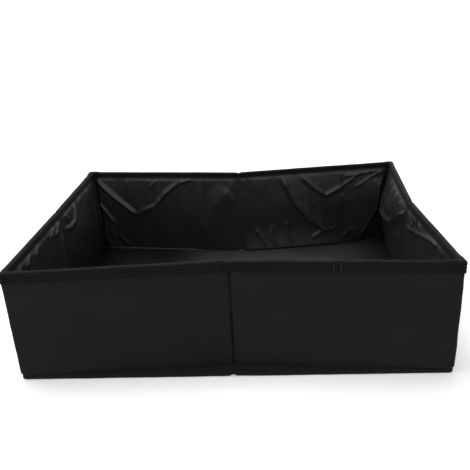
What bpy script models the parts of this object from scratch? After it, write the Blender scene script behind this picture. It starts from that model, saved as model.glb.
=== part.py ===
"""Foldable litter box: stiff boards sewn between a matte outer fabric and a thin glossy lining.

The ring of four walls stands on a base that folds in a V. To flatten the box, the ring leans
forward about the base's front edge, the side walls fold inward at their middle folds, and the
base's back half closes over its front half, until the front and back walls lie together.
Metres, +Z up. The origin is under the middle of the base, and the front wall faces -Y.
"""

import math
from collections.abc import Callable
from dataclasses import dataclass

import bmesh
import bpy
from mathutils import Vector
from mathutils.geometry import intersect_point_line

# Open box
BOX_WIDTH = 0.400
BOX_DEPTH = 0.300
BOX_HEIGHT = 0.112

# How far the middle fold of each wall stands in from the line between its corners
FRONT_BOW = 0.013
BACK_BOW = 0.024
LEFT_BOW = 0.001
RIGHT_BOW = 0.0095

# Layers, and the gap left between pieces that touch
OUTER_FABRIC = 0.0009
WALL_BOARD = 0.0024
BASE_BOARD = 0.0020
LINING = 0.0008
SEAT_GAP = 0.0003

# Rim binding, a folded tape over the upper edge, whose inner leg is the shorter one
BINDING_DROP = 0.010
BINDING_DROP_INSIDE = 0.005
BINDING_TOP = 0.0010
BINDING_ROUND = 0.0016
ROUND_STEPS = 3

# Valley of the outer fabric between the boards at the front and back middle folds, at its top
VALLEY_HALF_WIDTH = 0.0014
VALLEY_SLOPE = 0.0016
VALLEY_DEPTH = 0.0016
# How narrow and shallow the valley is at its foot, as a share of its top
VALLEY_FOOT_SHARE = 0.5

# Board corners, cut so that they do not pierce the fabric
BOARD_CORNER = 0.004

# Crease of the base cover from front to back, lifted between the boards
CREASE_WIDTH = 0.008
CREASE_LIFT = 0.0020

# Folds of the lining: their height, half width and the size of a mesh cell
FOLD_HEIGHT = 0.0045
FOLD_HALF_WIDTH = 0.0080
LINING_CELL = 0.0050
# Height that a fold may have, as a share of its distance from the corner that closes on it
CLOSING_SHARE = 0.045

# Length by which a cutter passes the face it opens
OVERRUN = 0.002

# Sizes that follow. Heights of the ring and the base are measured from the base's upper face
WALL = OUTER_FABRIC + WALL_BOARD + LINING + 2 * SEAT_GAP
BASE_TOP = OUTER_FABRIC + BASE_BOARD + LINING + 2 * SEAT_GAP
FOOT = SEAT_GAP
RIM = BOX_HEIGHT - BASE_TOP
BINDING_FOOT = RIM - BINDING_DROP
CLOTH_TOP = BINDING_FOOT - SEAT_GAP
INSIDE_FOOT = RIM - BINDING_DROP_INSIDE
LINING_TOP = INSIDE_FOOT - SEAT_GAP
LONG_HALF = BOX_WIDTH / 2 - WALL
SHORT_HALF = BOX_DEPTH / 2 - WALL - SEAT_GAP / 2
FRONT_YAW = math.asin(FRONT_BOW / LONG_HALF)
BACK_YAW = math.asin(BACK_BOW / LONG_HALF)
# The bowed back wall draws its corners toward each other
BACK_DRAW = LONG_HALF * (1 - math.cos(BACK_YAW))

# Ridges of the lining as shares of a half wall's length from its pivot and of the lining's height
BACK_LEFT_SHARES = (
    ((0.04, 0.91), (0.15, 0.71), (0.29, 0.49), (0.42, 0.65), (0.52, 0.78), (0.68, 0.96)),
    ((0.03, 0.65), (0.12, 0.40)),
    ((0.93, 0.88), (0.84, 0.69), (0.76, 0.34)),
)
BACK_RIGHT_SHARES = (
    ((0.72, 0.95), (0.63, 0.59), (0.54, 0.38), (0.40, 0.17)),
    ((0.58, 0.94), (0.51, 0.82), (0.43, 0.70), (0.32, 0.79)),
    ((0.04, 0.95), (0.12, 0.89), (0.23, 0.76)),
    ((0.05, 0.88), (0.08, 0.46), (0.20, 0.04)),
)
LEFT_FRONT_SHARES = (
    ((0.98, 0.91), (0.90, 0.67), (0.82, 0.38), (0.78, 0.10)),
    ((0.70, 0.96), (0.66, 0.80), (0.52, 0.71)),
    ((0.30, 0.94), (0.42, 0.63), (0.44, 0.34)),
)
LEFT_BACK_SHARES = (
    ((0.03, 0.88), (0.16, 0.63), (0.38, 0.59), (0.60, 0.90)),
    ((0.62, 0.94), (0.68, 0.57), (0.66, 0.10)),
    ((0.30, 0.50), (0.28, 0.10)),
)
RIGHT_FRONT_SHARES = (
    ((0.98, 0.86), (0.80, 0.84), (0.56, 0.92)),
    ((0.97, 0.76), (0.95, 0.38), (0.96, 0.06)),
    ((0.70, 0.60), (0.68, 0.25)),
)
RIGHT_BACK_SHARES = (
    ((0.03, 0.92), (0.21, 0.73), (0.40, 0.61), (0.80, 0.55)),
    ((0.30, 0.94), (0.32, 0.66)),
    ((0.55, 0.94), (0.54, 0.60)),
    ((0.74, 0.90), (0.73, 0.50), (0.74, 0.10)),
)

# Colours as linear RGB, with roughness
FABRIC_LOOK = ((0.0145, 0.0128, 0.0135), 0.88)
BINDING_LOOK = ((0.0118, 0.0110, 0.0112), 0.80)
LINING_LOOK = ((0.0060, 0.0060, 0.0060), 0.24)
BOARD_LOOK = ((0.0230, 0.0215, 0.0195), 0.75)

Point = tuple[float, float]
Ridge = tuple[Point, ...]


@dataclass(frozen=True)
class Panel:
    """Half a wall. Along runs from its pivot, and depth from its outer face inward."""

    name: str
    pivot: bpy.types.Object
    start: float
    end: float
    place: Callable[[float, float], Point]
    has_valley: bool
    closing: Callable[[float], float]
    ridges: tuple[Ridge, ...] = ()


def clear_scene() -> None:
    for obj in list(bpy.data.objects):
        bpy.data.objects.remove(obj)


def make_material(name: str, look: tuple[tuple[float, float, float], float]) -> bpy.types.Material:
    colour, roughness = look
    material = bpy.data.materials.new(name)
    material.use_nodes = True
    shader = material.node_tree.nodes["Principled BSDF"]
    shader.inputs["Base Color"].default_value = (*colour, 1.0)
    shader.inputs["Roughness"].default_value = roughness
    shader.inputs["Metallic"].default_value = 0.0
    return material


def add_pivot(name, parent, location, yaw=0.0) -> bpy.types.Object:
    pivot = bpy.data.objects.new(name, None)
    pivot.empty_display_size = BINDING_DROP
    bpy.context.collection.objects.link(pivot)
    pivot.parent = parent
    pivot.location = location
    pivot.rotation_euler = (0.0, 0.0, yaw)
    return pivot


def add_mesh(name, bm, parent, material) -> bpy.types.Object:
    bmesh.ops.recalc_face_normals(bm, faces=bm.faces)
    mesh = bpy.data.meshes.new(name)
    bm.to_mesh(mesh)
    bm.free()
    obj = bpy.data.objects.new(name, mesh)
    bpy.context.collection.objects.link(obj)
    obj.parent = parent
    if material:
        mesh.materials.append(material)
    return obj


def add_prism(name, section, travel, parent, material=None) -> bpy.types.Object:
    """Closes a flat section of points and extrudes it by the travel."""
    bm = bmesh.new()
    face = bm.faces.new([bm.verts.new(point) for point in section])
    moved = bmesh.ops.extrude_face_region(bm, geom=[face])["geom"]
    tops = [item for item in moved if isinstance(item, bmesh.types.BMVert)]
    bmesh.ops.translate(bm, verts=tops, vec=travel)
    return add_mesh(name, bm, parent, material)


def upright(name, outline, low, high, parent, material=None) -> bpy.types.Object:
    """Extrudes a plan outline from one height to another."""
    section = [(x, y, low) for x, y in outline]
    return add_prism(name, section, (0.0, 0.0, high - low), parent, material)


def cut(obj, cutter) -> None:
    cutter.hide_render = True
    cutter.display_type = "WIRE"
    modifier = obj.modifiers.new("cut by " + cutter.name, "BOOLEAN")
    modifier.operation = "DIFFERENCE"
    modifier.solver = "EXACT"
    modifier.object = cutter


def fabric_outline(panel, valley_share) -> list[Point]:
    """The fabric in plan. It dips into the valley at a middle fold, and ends square elsewhere."""
    outer = [(panel.start, 0.0), (panel.end, 0.0)]
    if panel.has_valley:
        bottom = panel.end - VALLEY_HALF_WIDTH * valley_share
        brink = bottom - VALLEY_SLOPE * valley_share
        depth = VALLEY_DEPTH * valley_share
        outer = [(panel.start, 0.0), (brink, 0.0), (bottom, depth), (panel.end, depth)]
    inner = [(along, depth + OUTER_FABRIC) for along, depth in reversed(outer)]
    if panel.has_valley:
        # The sloping stretch keeps about the fabric's thickness when its inner brink steps back
        inner[2] = (inner[2][0] - SEAT_GAP * valley_share, inner[2][1])
    return [panel.place(along, depth) for along, depth in outer + inner]


def add_outer_fabric(panel, material) -> None:
    """Joins the fabric's outline at its foot to the one under the binding."""
    bm = bmesh.new()
    levels = ((FOOT, VALLEY_FOOT_SHARE), (CLOTH_TOP, 1.0))
    rings = []
    for height, valley_share in levels:
        outline = fabric_outline(panel, valley_share)
        rings.append([bm.verts.new((x, y, height)) for x, y in outline])
    foot, top = rings
    bm.faces.new(foot)
    bm.faces.new(reversed(top))
    for number in range(len(foot)):
        bm.faces.new((foot[number - 1], foot[number], top[number], top[number - 1]))
    add_mesh("outer_fabric_" + panel.name, bm, panel.pivot, material)


def board_end(panel) -> float:
    if not panel.has_valley:
        return panel.end
    return panel.end - VALLEY_HALF_WIDTH - VALLEY_SLOPE - 2 * SEAT_GAP


def add_board(panel, material) -> None:
    """A board with cut corners that stands inside the fabric and reaches up into the binding."""
    start = panel.start
    end = board_end(panel)
    low = FOOT
    high = RIM - BINDING_TOP - SEAT_GAP
    corners = (
        (start + BOARD_CORNER, low),
        (end - BOARD_CORNER, low),
        (end, low + BOARD_CORNER),
        (end, high - BOARD_CORNER),
        (end - BOARD_CORNER, high),
        (start + BOARD_CORNER, high),
        (start, high - BOARD_CORNER),
        (start, low + BOARD_CORNER),
    )
    outer = OUTER_FABRIC + SEAT_GAP
    section = [(*panel.place(along, outer), height) for along, height in corners]
    near = Vector(panel.place(0.0, outer))
    travel = Vector(panel.place(0.0, outer + WALL_BOARD)) - near
    add_prism("board_" + panel.name, section, (*travel, 0.0), panel.pivot, material)


def binding_section() -> list[Point]:
    """The tape's section as depth and height: a long and a short leg under a rounded top."""
    points = [(0.0, BINDING_FOOT)]
    for centre, first in ((BINDING_ROUND, math.pi), (WALL - BINDING_ROUND, math.pi / 2)):
        for step in range(ROUND_STEPS + 1):
            angle = first - math.pi / 2 * step / ROUND_STEPS
            depth = centre + BINDING_ROUND * math.cos(angle)
            height = RIM - BINDING_ROUND + BINDING_ROUND * math.sin(angle)
            points.append((depth, height))
    points.append((WALL, INSIDE_FOOT))
    points.append((WALL - LINING, INSIDE_FOOT))
    points.append((WALL - LINING, RIM - BINDING_TOP))
    points.append((OUTER_FABRIC, RIM - BINDING_TOP))
    points.append((OUTER_FABRIC, BINDING_FOOT))
    return points


def add_binding(panel, material) -> None:
    section = [(*panel.place(panel.start, depth), height) for depth, height in binding_section()]
    travel = Vector(panel.place(panel.end, 0.0)) - Vector(panel.place(panel.start, 0.0))
    add_prism("binding_" + panel.name, section, (*travel, 0.0), panel.pivot, material)


def ridge_height(along, height, ridges, length) -> float:
    """Height of the highest ridge at a place on the lining."""
    here = Vector((along, height, 0.0))
    highest = 0.0
    for ridge in ridges:
        ends = [Vector((share * length, up_share * LINING_TOP, 0.0)) for share, up_share in ridge]
        for first, last in zip(ends, ends[1:]):
            nearest, part = intersect_point_line(here, first, last)
            nearest = first.lerp(last, min(max(part, 0.0), 1.0))
            near = max(0.0, 1 - ((here - nearest).length / FOLD_HALF_WIDTH) ** 2)
            highest = max(highest, FOLD_HEIGHT * near**2)
    return highest


def add_lining(panel, material) -> None:
    """A sheet whose ridges stand into the box, over a flat back that lies along the board."""
    length = panel.end - panel.start
    rise = LINING_TOP - FOOT
    columns = max(1, round(length / LINING_CELL)) if panel.ridges else 1
    rows = max(1, round(rise / LINING_CELL)) if panel.ridges else 1
    bm = bmesh.new()
    bmesh.ops.create_grid(bm, x_segments=columns, y_segments=rows, size=0.5)
    rim_edges = [edge for edge in bm.edges if edge.is_boundary]
    moved = bmesh.ops.extrude_edge_only(bm, edges=rim_edges)["geom"]
    back = {item for item in moved if isinstance(item, bmesh.types.BMVert)}
    loop = [item for item in moved if isinstance(item, bmesh.types.BMEdge)]
    bmesh.ops.contextual_create(bm, geom=[edge for edge in loop if edge.is_boundary])
    for vert in bm.verts:
        along = panel.start + (vert.co.x + 0.5) * length
        height = FOOT + (vert.co.y + 0.5) * rise
        fold = 0.0
        if vert not in back:
            fold = min(
                ridge_height(along, height, panel.ridges, panel.end),
                CLOSING_SHARE * panel.closing(along),
            )
        depth = WALL - LINING if vert in back else WALL + fold
        vert.co = (*panel.place(along, depth), height)
    add_mesh("lining_" + panel.name, bm, panel.pivot, material)


def corner_outline(place) -> list[Point]:
    """A square as wide as the wall, with its outer edge rounded as the fabric turns."""
    outline = []
    for step in range(ROUND_STEPS + 1):
        angle = math.pi / 2 * step / ROUND_STEPS
        along = -WALL + BINDING_ROUND * (1 - math.sin(angle))
        depth = BINDING_ROUND * (1 - math.cos(angle))
        outline.append(place(along, depth))
    outline.append(place(-WALL, WALL))
    outline.append(place(-SEAT_GAP / 2, WALL))
    outline.append(place(-SEAT_GAP / 2, 0.0))
    return outline


def add_corner(name, parent, place, fabric, binding) -> None:
    outline = corner_outline(place)
    upright("corner_seam_" + name, outline, FOOT, CLOTH_TOP, parent, fabric)
    upright("rim_corner_" + name, outline, BINDING_FOOT, RIM, parent, binding)


def floor_outline(turn, inset) -> list[Point]:
    """Half of the line on which the walls stand, moved in. Turn is -1 in front and 1 behind."""
    bow = FRONT_BOW if turn < 0 else BACK_BOW
    draw = 0.0 if turn < 0 else BACK_DRAW
    corner_x = BOX_WIDTH / 2 - inset - draw
    corner_y = turn * (BOX_DEPTH / 2 - inset)
    fold_y = turn * SEAT_GAP / 2
    return [
        (-(BOX_WIDTH / 2 - LEFT_BOW - inset), fold_y),
        (-corner_x, corner_y),
        (0.0, corner_y - turn * bow),
        (corner_x, corner_y),
        (BOX_WIDTH / 2 - RIGHT_BOW - inset, fold_y),
    ]


def creased_section(half_width, low, high) -> list[Point]:
    """A flat section whose lower edge is lifted at the middle crease."""
    return [
        (-half_width, low),
        (-CREASE_WIDTH / 2, low),
        (0.0, low + CREASE_LIFT),
        (CREASE_WIDTH / 2, low),
        (half_width, low),
        (half_width, high),
        (-half_width, high),
    ]


def add_base_cover(name, turn, parent, material) -> None:
    """Fabric round the boards: a bottom, three edges and an upper border outside the lining."""
    near = turn * SEAT_GAP / 2
    far = turn * BOX_DEPTH / 2
    section = [(x, near, z) for x, z in creased_section(BOX_WIDTH / 2, -BASE_TOP, 0.0)]
    cover = add_prism("base_cover_" + name, section, (0.0, far - near, 0.0), parent, material)
    pocket_width = BOX_WIDTH / 2 - OUTER_FABRIC
    pocket = creased_section(pocket_width, -BASE_TOP + OUTER_FABRIC, -LINING)
    section = [(x, near - turn * OVERRUN, z) for x, z in pocket]
    reach = far - near - turn * (OUTER_FABRIC - OVERRUN)
    cut(cover, add_prism("pocket_cutter_" + name, section, (0.0, reach, 0.0), parent))
    recess = floor_outline(turn, WALL / 2)
    recess[0] = (recess[0][0], near - turn * OVERRUN)
    recess[-1] = (recess[-1][0], near - turn * OVERRUN)
    low = -LINING - SEAT_GAP
    cut(cover, upright("recess_cutter_" + name, recess, low, OVERRUN, parent))


def add_base_half(name, turn, parent, materials) -> None:
    add_base_cover(name, turn, parent, materials["fabric"])
    outline = floor_outline(turn, WALL / 2 + SEAT_GAP)
    upright("floor_lining_" + name, outline, -LINING, 0.0, parent, materials["lining"])
    low = -BASE_TOP + OUTER_FABRIC + SEAT_GAP
    near = turn * SEAT_GAP / 2
    far = turn * (BOX_DEPTH / 2 - OUTER_FABRIC - SEAT_GAP)
    for side, hand in (("left", -1), ("right", 1)):
        inner = hand * (CREASE_WIDTH / 2 + SEAT_GAP)
        outer = hand * (BOX_WIDTH / 2 - OUTER_FABRIC - SEAT_GAP)
        corners = [(inner, near), (outer, near), (outer, far), (inner, far)]
        node = "base_board_" + name + "_" + side
        upright(node, corners, low, low + BASE_BOARD, parent, materials["board"])


def side_yaws(bow) -> tuple[float, float]:
    """Turn of a side wall's front and back half at rest."""
    front = math.asin((bow + BACK_DRAW / 2) / SHORT_HALF)
    back = math.asin((bow - BACK_DRAW / 2) / SHORT_HALF)
    return front, back


def fold_play(yaw) -> float:
    """What a half wall stops short of its middle fold, so that its outer edge stays free."""
    return SEAT_GAP / 2 + WALL * math.sin(yaw)


def add_ring_side(side, hand, ring, materials) -> list[Panel]:
    """The half of the wall ring on one side, from the front middle fold to the back one."""
    front_yaw, back_yaw = side_yaws(LEFT_BOW if hand < 0 else RIGHT_BOW)
    half_gap = SEAT_GAP / 2

    def front_place(along, depth):
        return -hand * along, depth - WALL - half_gap

    def side_front_place(along, depth):
        return hand * (WALL - depth), along

    def side_back_place(along, depth):
        return -hand * depth, along

    def back_place(along, depth):
        return -hand * along, WALL + half_gap - depth

    corner = add_pivot("corner_pivot_front_" + side, ring, (hand * LONG_HALF, WALL + half_gap, 0.0))
    front = add_pivot("pivot_front_" + side, corner, (0.0, 0.0, 0.0), -hand * FRONT_YAW)
    side_front = add_pivot("pivot_" + side + "_front", corner, (0.0, 0.0, 0.0), hand * front_yaw)
    middle = (hand * WALL, SHORT_HALF, 0.0)
    side_back = add_pivot("pivot_" + side + "_back", side_front, middle, -hand * (front_yaw + back_yaw))
    far_corner = (-hand * WALL, SHORT_HALF, 0.0)
    back = add_pivot("pivot_back_" + side, side_back, far_corner, hand * (back_yaw + BACK_YAW))
    add_corner("front_" + side, corner, front_place, materials["fabric"], materials["binding"])
    add_corner("back_" + side, back, back_place, materials["fabric"], materials["binding"])

    short_end = SHORT_HALF - half_gap
    long_front = LONG_HALF - fold_play(FRONT_YAW)
    long_back = LONG_HALF - fold_play(BACK_YAW)
    back_ridges = BACK_LEFT_SHARES if hand < 0 else BACK_RIGHT_SHARES
    front_ridges = LEFT_FRONT_SHARES if hand < 0 else RIGHT_FRONT_SHARES
    rear_ridges = LEFT_BACK_SHARES if hand < 0 else RIGHT_BACK_SHARES

    def from_start(along):
        return along

    def from_end(along):
        return SHORT_HALF - along

    return [
        Panel("front_" + side, front, half_gap, long_front, front_place, True, from_start),
        Panel(side + "_front", side_front, half_gap, short_end, side_front_place, False, from_start,
              front_ridges),
        Panel(side + "_back", side_back, half_gap, short_end, side_back_place, False, from_end,
              rear_ridges),
        Panel("back_" + side, back, half_gap, long_back, back_place, True, from_start, back_ridges),
    ]


def main() -> None:
    clear_scene()
    materials = {
        "fabric": make_material("matte black fabric", FABRIC_LOOK),
        "binding": make_material("black binding tape", BINDING_LOOK),
        "lining": make_material("glossy black lining", LINING_LOOK),
        "board": make_material("stiff board", BOARD_LOOK),
    }
    base = add_pivot("base_frame", None, (0.0, 0.0, BASE_TOP))
    base_fold = add_pivot("base_fold_pivot", None, (0.0, 0.0, BASE_TOP))
    ring = add_pivot("ring_tilt_pivot", None, (0.0, -BOX_DEPTH / 2, BASE_TOP))
    add_base_half("front", -1, base, materials)
    add_base_half("back", 1, base_fold, materials)
    for side, hand in (("left", -1), ("right", 1)):
        for panel in add_ring_side(side, hand, ring, materials):
            add_outer_fabric(panel, materials["fabric"])
            add_board(panel, materials["board"])
            add_lining(panel, materials["lining"])
            add_binding(panel, materials["binding"])


main()
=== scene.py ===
"""Foldable litter box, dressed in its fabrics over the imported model's frame.

Matte woven walls over boards, a stitched binding round the rim, and a thin glossy lining that
hangs in folds inside. Metres, +Z up, the front wall toward -Y.
"""

import logging
import math
from collections.abc import Callable
from dataclasses import dataclass
from enum import Enum

import bmesh
import bpy
from mathutils import Matrix, Vector, noise
from mathutils.geometry import intersect_line_line, intersect_point_line


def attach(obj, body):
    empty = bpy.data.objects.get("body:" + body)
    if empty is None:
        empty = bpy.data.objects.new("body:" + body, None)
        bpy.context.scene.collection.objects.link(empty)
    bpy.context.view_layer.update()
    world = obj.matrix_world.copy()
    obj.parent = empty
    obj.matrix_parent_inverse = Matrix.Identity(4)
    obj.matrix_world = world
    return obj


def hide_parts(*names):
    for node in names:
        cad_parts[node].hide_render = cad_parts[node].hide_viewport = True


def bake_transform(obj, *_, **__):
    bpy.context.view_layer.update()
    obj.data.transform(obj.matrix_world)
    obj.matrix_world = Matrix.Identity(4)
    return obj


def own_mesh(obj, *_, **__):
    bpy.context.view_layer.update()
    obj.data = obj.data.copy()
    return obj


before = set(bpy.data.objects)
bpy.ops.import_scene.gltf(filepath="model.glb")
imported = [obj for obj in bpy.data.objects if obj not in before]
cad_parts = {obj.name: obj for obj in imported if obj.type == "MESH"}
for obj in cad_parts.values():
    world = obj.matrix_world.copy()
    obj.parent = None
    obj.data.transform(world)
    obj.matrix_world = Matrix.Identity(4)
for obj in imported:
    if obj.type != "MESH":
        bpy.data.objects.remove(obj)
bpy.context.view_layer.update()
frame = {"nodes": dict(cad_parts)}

LOG = logging.getLogger("litter box")
UP = Vector((0.0, 0.0, 1.0))
TINY = 1e-6
CRISP_ANGLE = 1.2
WHITE = (1.0, 1.0, 1.0)
BASE_HALVES = (("front", -1), ("back", 1))

Place = Callable[[float, float], Vector]
Triple = tuple[float, float, float]
Span = tuple[float, float]
Object = bpy.types.Object
Material = bpy.types.Material
BMesh = bmesh.types.BMesh
BMVert = bmesh.types.BMVert
BMEdge = bmesh.types.BMEdge


class Hand(Enum):
    """Side of the box, as the sign of its X."""

    LEFT = -1
    RIGHT = 1


class Spot(Enum):
    """Which half wall, counted round one side of the box from the front middle fold."""

    FRONT = "front"
    SIDE_FRONT = "side front"
    SIDE_BACK = "side back"
    BACK = "back"


def mix(first: float, last: float, share: float) -> float:
    """Value at a share of the way from first to last."""
    return first + (last - first) * share


def smooth(low: float, high: float, value: float) -> float:
    """Eased step from 0 at low to 1 at high."""
    share = min(1.0, max(0.0, (value - low) / (high - low)))
    return share * share * (3 - 2 * share)


def rise(reach: float, value: float) -> float:
    """Eased rise from 0 at 0 to 1 at a reach."""
    return smooth(0.0, reach, value)


def fall(reach: float, value: float) -> float:
    """Eased fall from 1 at 0 to 0 at a reach."""
    return 1 - smooth(0.0, reach, value)


def clamp(value: float, low: float, high: float) -> float:
    """The value, kept between two ends."""
    return max(low, min(high, value))


def linear(red: int, green: int, blue: int) -> Triple:
    """Linear colour of a screen colour from 0 to 255, by the sRGB curve."""
    knee, slope, offset, power = 0.04045, 12.92, 0.055, 2.4
    return tuple(
        share / slope if share < knee else ((share + offset) / (1 + offset)) ** power
        for share in (red / 255, green / 255, blue / 255)
    )


def grey(level: int) -> Triple:
    """Linear colour of a screen grey from 0 to 255."""
    return linear(level, level, level)


def ripple(where: Vector, scale: float, octaves: int = 3) -> float:
    """Soft noise from about -1 to 1 at a point, with bumps of about the given size in metres."""
    falloff, spacing = 1.0, 2.0
    return noise.fractal(where / scale, falloff, spacing, octaves)


def creases(where: Vector, scale: float) -> float:
    """Noise from 0 to about 1 whose crests are thin lines, as on crumpled film."""
    falloff, spacing, octaves, offset, gain, tallest = 1.0, 2.1, 3, 1.0, 1.6, 1.5
    ridges = noise.ridged_multi_fractal(where / scale, falloff, spacing, octaves, offset, gain)
    return min(tallest, ridges / gain)


# Shader graphs


class Signal:
    """A shader socket. Arithmetic on it adds Math nodes to its graph."""

    def __init__(self, graph: "ShaderGraph", socket: bpy.types.NodeSocket) -> None:
        """Wraps one output socket of a graph."""
        self.graph = graph
        self.socket = socket

    def __add__(self, other: "Signal | float") -> "Signal":
        """Sum."""
        return self.graph.math("ADD", self, other)

    def __radd__(self, other: float) -> "Signal":
        """Sum, from the right."""
        return self.graph.math("ADD", other, self)

    def __sub__(self, other: "Signal | float") -> "Signal":
        """Difference."""
        return self.graph.math("SUBTRACT", self, other)

    def __rsub__(self, other: float) -> "Signal":
        """Difference, from the right."""
        return self.graph.math("SUBTRACT", other, self)

    def __mul__(self, other: "Signal | float") -> "Signal":
        """Product."""
        return self.graph.math("MULTIPLY", self, other)

    def __rmul__(self, other: float) -> "Signal":
        """Product, from the right."""
        return self.graph.math("MULTIPLY", other, self)

    def __abs__(self) -> "Signal":
        """Size without sign."""
        return self.graph.math("ABSOLUTE", self)

    def sine(self) -> "Signal":
        """Sine of the value in radians."""
        return self.graph.math("SINE", self)

    def floor(self) -> "Signal":
        """Next lower whole number."""
        return self.graph.math("FLOOR", self)

    def parity(self) -> "Signal":
        """0 where the whole number is even and 1 where it is odd."""
        return self.graph.math("PINGPONG", self, 1.0)


class ShaderGraph:
    """The node tree of one material, built from expressions."""

    def __init__(self, name: str) -> None:
        """Makes the material with an empty Principled shader."""
        self.material = bpy.data.materials.new(name)
        self.material.use_nodes = True
        self.tree = self.material.node_tree
        self.shader = self.tree.nodes["Principled BSDF"]

    def node(
        self, kind: str, settings: dict | None = None, sockets: dict | None = None
    ) -> bpy.types.Node:
        """Adds any node.

        Args:
            kind: The node's type name.
            settings: Properties, which are set first.
            sockets: Values or signals of its inputs, by name or number.

        Returns:
            The new node.
        """
        made = self.tree.nodes.new(kind)
        for key, value in (settings or {}).items():
            setattr(made, key, value)
        for key, value in (sockets or {}).items():
            self.feed(made.inputs[key], value)
        return made

    def feed(self, socket: bpy.types.NodeSocket, value: "Signal | float | tuple") -> None:
        """Links a signal into a socket, or sets the socket's own value.

        Args:
            socket: The input.
            value: A signal, or a value or colour of its own.
        """
        if isinstance(value, Signal):
            self.tree.links.new(value.socket, socket)
        elif isinstance(value, tuple) and socket.type == "RGBA":
            socket.default_value = (*value, 1.0)
        else:
            socket.default_value = value

    def signal(
        self, kind: str, settings: dict | None = None, sockets: dict | None = None,
        output: int | str = 0,
    ) -> Signal:
        """Adds any node and returns one of its outputs."""
        return Signal(self, self.node(kind, settings, sockets).outputs[output])

    def math(self, operation: str, *values: "Signal | float") -> Signal:
        """Adds a Math node for numbers."""
        return self.signal("ShaderNodeMath", {"operation": operation}, dict(enumerate(values)))

    def vector(self, operation: str, *values: "Signal | tuple", output: int | str = 0) -> Signal:
        """Adds a Vector Math node."""
        sockets = dict(enumerate(values))
        return self.signal("ShaderNodeVectorMath", {"operation": operation}, sockets, output)

    def length(self, value: Signal) -> Signal:
        """Length of a vector."""
        return self.vector("LENGTH", value, output="Value")

    def parts(self, value: Signal) -> tuple[Signal, Signal, Signal]:
        """The three parts of a vector."""
        made = self.node("ShaderNodeSeparateXYZ", None, {0: value})
        return tuple(Signal(self, output) for output in made.outputs)

    def fade(self, value: Signal, low: float, high: float) -> Signal:
        """Eased step from 0 where the value is low to 1 where it is high."""
        return self.signal(
            "ShaderNodeMapRange",
            {"interpolation_type": "SMOOTHSTEP"},
            {"Value": value, "From Min": low, "From Max": high},
        )

    def band(self, value: Signal, middle: float, low: float, high: float) -> Signal:
        """Eased fall from 1 within low of a middle value to 0 at high from it."""
        return 1 - self.fade(abs(value - middle), low, high)

    def blend(self, factor: Signal, first: "Signal | Triple", last: "Signal | Triple") -> Signal:
        """Mixes two colours by a factor."""
        settings = {"data_type": "RGBA", "clamp_factor": True}
        return self.signal("ShaderNodeMix", settings, {0: factor, 6: first, 7: last}, 2)

    def weave_place(self) -> tuple[Signal, Signal]:
        """Place on the flat cloth in metres, along its width and along its length."""
        return self.parts(self.signal("ShaderNodeUVMap", {"uv_map": "Cloth"}))[:2]

    def place(self) -> Signal:
        """Place in the object, in metres."""
        return self.signal("ShaderNodeTexCoord", None, None, "Object")

    def clouds(self, size: float, detail: float = 3.0, place: Signal | None = None) -> Signal:
        """Soft noise from 0 to 1 with bumps of about the given size in metres."""
        sockets = {"Vector": place or self.place(), "Scale": 1 / size, "Detail": detail}
        return self.signal("ShaderNodeTexNoise", None, sockets)

    def crests(self, size: float, place: Signal, width: float = 0.075) -> Signal:
        """Thin crests from 0 to 1 where a noise crosses its middle, about the given size apart."""
        return self.band(self.clouds(size, 2.0, place), 0.5, 0.0, width)

    def ribs(self, place: Signal, pitch: float) -> Signal:
        """Round ribs from 0 to 1, the given pitch apart."""
        return abs((place * (math.pi / pitch)).sine())

    def bump(
        self, height: Signal, depth: float, strength: float = 1.0, under: Signal | None = None
    ) -> Signal:
        """Turns a height into a normal. Depth is the height of 1, in metres."""
        sockets = {"Height": height, "Distance": depth, "Strength": strength}
        if under:
            sockets["Normal"] = under
        return self.signal("ShaderNodeBump", None, sockets)

    def finish(self, **inputs: "Signal | float | tuple") -> Material:
        """Feeds the shader's inputs by name, with _ for a space."""
        for key, value in inputs.items():
            self.feed(self.shader.inputs[key.replace("_", " ")], value)
        return self.material


# Finishes


@dataclass(frozen=True)
class Finish:
    """What the finishes share: two colours, and how rough, how deep and how glossy they are."""

    name: str
    deep: Triple
    raised: Triple
    roughness: float
    uneven: float
    relief: float
    strength: float
    gloss: float
    sheen: float = 0.0
    sheen_roughness: float = 0.5

    def coat(
        self, graph: ShaderGraph, colour: Signal, rough: Signal, height: Signal,
        under: Signal | None = None,
    ) -> Material:
        """Feeds the shader.

        Args:
            graph: The material's graph.
            colour: Its colour.
            rough: What is added to its roughness.
            height: Height of its relief, as a share of the relief's depth.
            under: Normal of a broader relief below.

        Returns:
            The material.
        """
        return graph.finish(
            Base_Color=colour,
            Roughness=self.roughness + rough,
            Normal=graph.bump(height, self.relief, self.strength, under),
            Specular_IOR_Level=self.gloss,
            Sheen_Weight=self.sheen,
            Sheen_Roughness=self.sheen_roughness,
        )


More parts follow.
